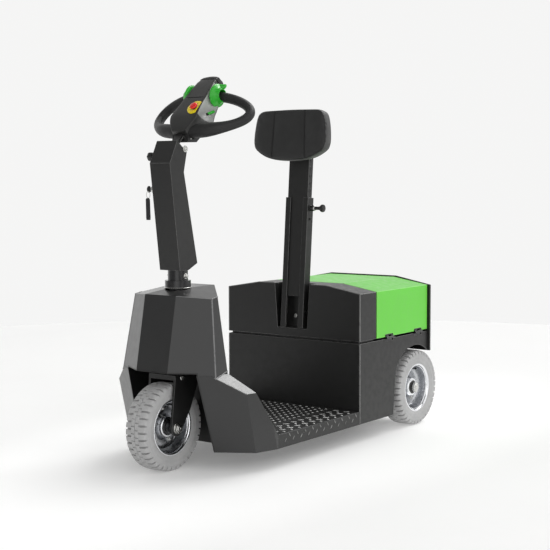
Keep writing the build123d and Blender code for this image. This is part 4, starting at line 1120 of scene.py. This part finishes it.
def make_pad():
    loop_ = smooth_loop(PAD_OUT, 4)
    cy, cs = 0.0, 662.0
    def ring_at(forward, inset):
        out = []
        for p in loop_:
            d = Vector((p.x - cy, p.y - cs))
            L = d.length
            k = (L - inset) / L
            out.append(MP(forward, cy + d.x * k, cs + d.y * k))
        return out
    sh = Shape()
    # a slightly slack cover: pressure fills it out to the real size
    for_rings = [(24.5, 7), (26.0, 3.0), (30, -0.4), (38, -2.0), (52, -2.4), (60.5, -1.0), (64.2, 2.6), (65.6, 7), (66.2, 24), (66.4, 60)]
    rings = [ring_at(f, i) for f, i in for_rings]
    sh.skin(rings, 0)
    me = bpy.data.meshes.new("lean_pad_cushion")
    me.from_pydata(sh.v, [], sh.f)
    bm = bmesh.new()
    bm.from_mesh(me)
    bmesh.ops.recalc_face_normals(bm, faces=bm.faces)
    bmesh.ops.triangulate(bm, faces=[f for f in bm.faces if len(f.verts) > 4])
    bm.to_mesh(me)
    bm.free()
    ob = bpy.data.objects.new("lean_pad_cushion", me)
    bpy.context.scene.collection.objects.link(ob)
    r = ob.modifiers.new("remesh", "REMESH")
    r.mode = "VOXEL"
    r.voxel_size = 0.0042
    dg = bpy.context.evaluated_depsgraph_get()
    me2 = bpy.data.meshes.new_from_object(ob.evaluated_get(dg))
    ob.modifiers.clear()
    ob.data = me2
    me2.name = "lean_pad_cushion"
    inv = {"f": [], "y": [], "s": []}
    origin = V(5, 0, 371)
    for v in me2.vertices:
        d = v.co - origin
        inv["f"].append(d.dot(MF) * 1000)
        inv["y"].append(v.co.y * 1000)
        inv["s"].append(d.dot(MU) * 1000)
    vg = ob.vertex_groups.new(name="held")
    for i in range(len(me2.vertices)):
        f, y, s = inv["f"][i], inv["y"][i], inv["s"][i]
        w = 0.0
        if f < 28:
            w = 1.0
        elif f > 50:
            seam = 63 + 6 * (742 - s) / 160.0
            d = abs(abs(y) - seam)
            if d < 3.2:
                w = 0.92
        if w > 0:
            vg.add([i], w, "REPLACE")
    rest = [v.co.copy() for v in me2.vertices]
    cl = ob.modifiers.new("cloth", "CLOTH")
    st = cl.settings
    st.quality = 6
    st.mass = 0.25
    st.tension_stiffness = 22
    st.compression_stiffness = 22
    st.shear_stiffness = 10
    st.bending_stiffness = 1.4
    st.use_pressure = True
    st.uniform_pressure_force = 4.0
    st.effector_weights.gravity = 0.0
    st.vertex_group_mass = "held"
    cl.collision_settings.use_collision = False
    cl.point_cache.frame_start = 1
    cl.point_cache.frame_end = 24
    scene = bpy.context.scene
    for fr in range(1, 21):
        scene.frame_set(fr)
    dg = bpy.context.evaluated_depsgraph_get()
    got = bpy.data.meshes.new_from_object(ob.evaluated_get(dg))
    cap = 0.0034
    for v, r0 in zip(got.vertices, rest):
        d = v.co - r0
        if d.length > cap:
            v.co = r0 + d * (cap / d.length)
    ob.modifiers.clear()
    ob.vertex_groups.clear()
    ob.data = got
    got.name = "lean_pad_cushion"
    scene.frame_set(1)
    me2 = ob.data
    # ease out the voxel steps
    bm = bmesh.new()
    bm.from_mesh(me2)
    for _ in range(2):
        bmesh.ops.smooth_vert(bm, verts=bm.verts, factor=0.22, use_axis_x=True, use_axis_y=True, use_axis_z=True)
    bm.to_mesh(me2)
    bm.free()
    me2.polygons.foreach_set("use_smooth", [True] * len(me2.polygons))
    me2.materials.clear()
    me2.materials.append(M["pad"])
    me2.materials.append(M["pad_side"])
    # faces turned away from the front take the lighter side-band vinyl, a painted sheen
    for f in me2.polygons:
        if f.normal.dot(MF) < 0.5:
            f.material_index = 1
    s_ = ob.modifiers.new("subdivision", "SUBSURF")
    s_.levels = s_.render_levels = 1
    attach(ob, "lean_seat")
    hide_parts("lean_pad")
    return ob


pad = make_pad()
bpy.context.view_layer.update()
pad_tree = BVHTree.FromObject(pad, bpy.context.evaluated_depsgraph_get())
# two stitched seams across the face, and a welt round the back edge
sh = Shape()
for side in (-1, 1):
    pts = []
    for k in range(41):
        s = 574 + 178 * k / 40.0
        y = side * (63 + 6 * (742 - s) / 160.0)
        hit = pad_tree.ray_cast(MP(120, y, s), -MF)
        if hit[0] is not None and (hit[0] - MP(62, y, s)).length < 0.02:
            pts.append(hit[0] + MF * mm(0.2))
    if len(pts) > 4:
        sh.tube(pts, mm(0.9), 8, 0)
        # stitches either side of the seam
        for off in (-2.6, 2.6):
            for a, b in zip(pts[::1], pts[1::1]):
                q0 = a.lerp(b, 0.15) + Y * mm(off)
                q1 = a.lerp(b, 0.85) + Y * mm(off)
                h0 = pad_tree.ray_cast(q0 + MF * 0.03, -MF)
                h1 = pad_tree.ray_cast(q1 + MF * 0.03, -MF)
                if h0[0] is not None and h1[0] is not None:
                    sh.tube([h0[0], h0[0].lerp(h1[0], 0.5) + MF * mm(0.35), h1[0]], [mm(0.2), mm(0.42), mm(0.2)], 6, 0)
loop_ = smooth_loop(PAD_OUT, 4)
pts = []
for p in loop_:
    d = Vector((p.x, p.y - 662))
    k = (d.length - 3.0) / d.length
    pts.append(MP(27.0, d.x * k, 662 + d.y * k))
sh.tube(pts, mm(2.0), 8, 0, loop=True)
# seam where the front panel meets the side band
pts = []
for p in smooth_loop(PAD_OUT, 2):
    d = Vector((p.x, p.y - 662))
    n = d.normalized()
    away = (Y * n.x + MU * n.y + MF * 1.1).normalized()
    hit = pad_tree.ray_cast(MP(64, p.x, p.y) + away * mm(18), -away)
    if hit[0] is not None:
        pts.append(hit[0] - away * mm(0.1))
if len(pts) > 20:
    sh.tube(pts, mm(1.0), 8, 0, loop=True)
piece("lean_pad_seams_and_welt", sh, [M["seam"]], "lean_seat", smooth=50)

# ================================================================== batteries, rear plate and hitch fixings
sh = Shape()
for y0 in (-121, 121):
    # ribbed lid of each battery, vent caps and two terminals
    for k in range(9):
        s = -152 - 32 * k
        sh.box(V(s, y0, 468.6), (mm(2.2), mm(104), mm(1.6)))
    for k in range(6):
        sh.lathe([(mm(-1), mm(11)), (mm(3.4), mm(11)), (mm(4.4), mm(10)), (mm(4.4), mm(5)), (mm(3.0), mm(4)), (mm(3.0), mm(1))], V(-168 - 44 * k, y0 - 46, 469), Z, 24, 1)
    for s in (-146, -414):
        sh.lathe([(mm(-1), mm(13)), (mm(1.5), mm(13)), (mm(2.0), mm(8.4)), (mm(4.6), mm(7.8)), (mm(5.0), mm(3))], V(s, y0 + 62, 468.6), Z, 24, 2)
    # carrying strap
    pts = [V(-282 + 70 * math.cos(math.pi * k / 12), y0 + 30, 468.8 + 2.4 * math.sin(math.pi * k / 12)) for k in range(13)]
    sh.tube(pts, mm(1.8), 8, 1)
piece("battery_tops", sh, [M["battery"], M["knob"], M["lead"]], "root", smooth=30, bevel=0.5)

sh = Shape()
for y in (-268, -150, 150, 268):
    for z in (355, 492 if abs(y) > 200 else 506):
        if z > 490:
            continue
        sh.bolt(V(-465, y, z), -X, 5.6, 4.0, 0, True, 0.1)
for y in (-268, 268):
    sh.bolt(V(-465, y, 282), -X, 5.6, 4.0, 0, True, 0.2)
for y in (-164, 164):
    for z in (104, 238):
        sh.bolt(V(-465, y, z), -X, 5.6, 4.0, 0, True, 0.3)
for y in (-48, 48):
    for z in (181, 226, 271):
        sh.bolt(V(-473, y, z), -X, 6.6, 5.0, 0, True, 0.15)
piece("rear_plate_bolts", sh, [M["zinc"]], "root", smooth=30, bevel=0.3)

sh = Shape()
for side in (-1, 1):
    # gussets over and under the jaw's plates
    for z0, z1 in ((202, 216), (236, 250)):
        tri = [V(-473, side * 32, z0), V(-473, side * 32, z1), V(-496, side * 32, z0 if z0 < 210 else z1)]
        sh.prism(tri, Vector((0, mm(side * 6), 0)), 0)
pin = V(-514, 0, 296)
pts = [pin + Vector((0, mm(13.0 * math.cos(TAU * k / 32)), mm(2 + 13.0 * math.sin(TAU * k / 32)))) for k in range(32)]
piece("jaw_gussets", sh, [M["frame"]], "root", smooth=30, bevel=0.5)

# hitch pin: tapered tip, collar and turned ball grip
sh = Shape()
o = V(-514, 0, 184)
sh.lathe([(mm(0), mm(5.4)), (mm(5), mm(9.2)), (mm(78.3), mm(9.2)), (mm(78.3), mm(14.2)), (mm(79.2), mm(15.0)), (mm(85), mm(15.0)), (mm(86), mm(14.0)), (mm(86), mm(6.2)), (mm(100), mm(5.0))], o, Z, 40, 0)
sh.lathe([(mm(99), mm(6.6)), (mm(101), mm(8.6)), (mm(105), mm(11.2)), (mm(112), mm(12.0)), (mm(118), mm(10.6)), (mm(122.4), mm(6.8)), (mm(123.8), mm(2.5))], o, Z, 40, 1)
piece("hitch_pin_turned", sh, [M["zinc"], M["knob"]], "tow_pin", ("hitch_pin",), smooth=35)

# underside: plates and bolts that tie the rails to the sheet
sh = Shape()
for y in (-150, 150):
    for s in (60, 200, 340, 430):
        sh.bolt(V(s, y, 66), -Z, 5.6, 4.0, 1, True, 0.2)
for s in (120, 290):
    sh.box(V(s, 0, 98.8), (mm(14), mm(129), mm(2.0)))
piece("underside_ties_and_bolts", sh, [M["frame"], M["zinc"]], "root", smooth=30, bevel=0.5)

# drive unit: motor barrel ends, gear casing flanges and bolts on the bare faces of the block
sh = Shape()
for side in (-1, 1):
    o = V(-392, side * 104, 135)
    sh.lathe([(mm(0), mm(52)), (mm(9), mm(52)), (mm(11), mm(50)), (mm(22), mm(34)), (mm(24), mm(30)), (mm(24), mm(24.5))], o, Y * side, 56, 0)
    for k in range(8):
        a = TAU * k / 8
        sh.bolt(o + Vector((mm(45 * math.cos(a)), mm(side * 9), mm(45 * math.sin(a)))), Y * side, 4.4, 3.2, 1, False, a)
for k in range(9):
    sh.box(V(-436 + 16.4 * k, 0, 216), (mm(1.8), mm(92), mm(5)))
piece("drive_unit_details", sh, [M["cast"], M["zinc"]], "root", smooth=30, bevel=0.6)


# ------------------------------------------------------------------ camera
def make_camera():
    yaw, pitch, roll = math.radians(-143.768), math.radians(4.4617), math.radians(-0.1728)
    f = Vector((math.cos(yaw) * math.cos(pitch), math.sin(yaw) * math.cos(pitch), -math.sin(pitch)))
    right = f.cross(Vector((0, 0, 1))).normalized()
    up = right.cross(f)
    r2 = right * math.cos(roll) + up * math.sin(roll)
    u2 = -right * math.sin(roll) + up * math.cos(roll)
    cam = bpy.data.cameras.new("camera")
    cam.sensor_width = 36.0
    cam.lens = 82.596
    cam.clip_end = 60
    ob = bpy.data.objects.new("camera", cam)
    bpy.context.scene.collection.objects.link(ob)
    m = Matrix((r2, u2, -f)).transposed().to_4x4()
    m.translation = Vector((3.5507 + XW, 2.5289, 0.8957))
    ob.matrix_world = m
    bpy.context.scene.camera = ob
    return ob


make_camera()
bpy.context.scene.view_settings.view_transform = "Standard"

# ------------------------------------------------------------------ floor and light
me = bpy.data.meshes.new("floor")
R_FLOOR = 3.7
me.from_pydata([(R_FLOOR * math.cos(TAU * k / 128), R_FLOOR * math.sin(TAU * k / 128), 0) for k in range(128)], [], [tuple(range(128))])
floor = bpy.data.objects.new("floor", me)
bpy.context.scene.collection.objects.link(floor)
mf, nt, p = new_mat("floor_pale")
v = coords(nt)
nt.links.new(ramp(nt, noise(nt, v, 1.3, 4), [(0.3, (0.775, 0.775, 0.771)), (0.7, (0.80, 0.80, 0.795))]), p.inputs["Base Color"])
nt.links.new(mapped(nt, noise(nt, v, 30.0, 3), 0.55, 0.7), p.inputs["Roughness"])
nt.links.new(bump(nt, noise(nt, v, 220.0, 2), 0.08, 0.0003), p.inputs["Normal"])
p.inputs["Specular IOR Level"].default_value = 0.2
# the floor glows as painted light, so its shadows stay soft
nt.links.new(ramp(nt, noise(nt, v, 0.9, 3), [(0.3, (0.98, 0.98, 0.975)), (0.7, (1.0, 1.0, 0.995))]), p.inputs["Emission Color"])
# painted light and shade: most glow in an oval round the tractor, least under it as a painted contact shadow, and least
# towards the far edge
away = nt.nodes.new("ShaderNodeVectorMath")
away.operation = "LENGTH"
nt.links.new(coords(nt, (1 / 0.62, 1 / 0.27, 1)), away.inputs[0])
ring_ = maths(nt, "MULTIPLY", away.outputs["Value"], 1 / 12.0)
painted_floor_glow = ramp(nt, ring_, [(0.055, (0.17, 0.17, 0.17)), (0.080, (0.235, 0.235, 0.235)), (0.115, (0.31, 0.31, 0.31)), (0.180, (0.30, 0.30, 0.30)),
                        (0.250, (0.205, 0.205, 0.205)), (0.50, (0.19, 0.19, 0.19)), (0.90, (0.155, 0.155, 0.155))])
nt.links.new(painted_floor_glow, p.inputs["Emission Strength"])
me.materials.append(mf)

world = bpy.data.worlds.new("studio")
bpy.context.scene.world = world
world.use_nodes = True
wt = world.node_tree
bg = wt.nodes["Background"]
tc = wt.nodes.new("ShaderNodeTexCoord")


def sector(direction, inner, outer):
    """1 within a cone about the direction, easing to 0"""
    vm = wt.nodes.new("ShaderNodeVectorMath")
    vm.operation = "DOT_PRODUCT"
    wt.links.new(tc.outputs["Generated"], vm.inputs[0])
    vm.inputs[1].default_value = Vector(direction).normalized()
    mr = wt.nodes.new("ShaderNodeMapRange")
    mr.interpolation_type = "SMOOTHSTEP"
    mr.inputs["From Min"].default_value = math.cos(math.radians(outer))
    mr.inputs["From Max"].default_value = math.cos(math.radians(inner))
    wt.links.new(vm.outputs["Value"], mr.inputs["Value"])
    return mr.outputs["Result"]


def wmath(op, a, b):
    n = wt.nodes.new("ShaderNodeMath")
    n.operation = op
    for i, q in enumerate((a, b)):
        if isinstance(q, (int, float)):
            n.inputs[i].default_value = q
        else:
            wt.links.new(q, n.inputs[i])
    return n.outputs[0]


AMBIENT, SWEEP, KEYSIDE, LEFT = 0.33, 0.76, 1.05, 0.55
light_level = wmath("ADD", AMBIENT, wmath("ADD", wmath("MULTIPLY", sector((-0.45, -0.9, 0.0), 28, 62), SWEEP),
                                          wmath("ADD", wmath("MULTIPLY", sector((0.86, 0.5, 0.24), 14, 34), KEYSIDE),
                                                wmath("MULTIPLY", sector((-0.83, 0.55, 0.04), 18, 46), LEFT))))
lp = wt.nodes.new("ShaderNodeLightPath")
mr = wt.nodes.new("ShaderNodeMix")
mr.data_type = "FLOAT"
wt.links.new(lp.outputs["Is Camera Ray"], mr.inputs["Factor"])
wt.links.new(light_level, mr.inputs["A"])
mr.inputs["B"].default_value = 0.915
wt.links.new(mr.outputs["Result"], bg.inputs["Strength"])
bg.inputs["Color"].default_value = (1, 1, 0.995, 1)


def soft_sun(name, towards, strength, angle):
    """far softbox: direction from the object to the light, strength, apparent width"""
    l = bpy.data.lights.new(name, "SUN")
    l.energy = strength
    l.angle = math.radians(angle)
    o = bpy.data.objects.new(name, l)
    bpy.context.scene.collection.objects.link(o)
    d = Vector(towards).normalized()
    o.location = d * 4
    o.rotation_euler = (-d).to_track_quat("-Z", "Y").to_euler()
    return o


soft_sun("top_softbox", (-0.61, 0.13, 0.78), 1.5, 44)
soft_sun("left_softbox", (0.12, 0.90, 0.42), 0.7, 60)
kick = soft_sun("top_kicker", (-0.61, 0.13, 0.78), 0.85, 20)
kick.visible_diffuse = False
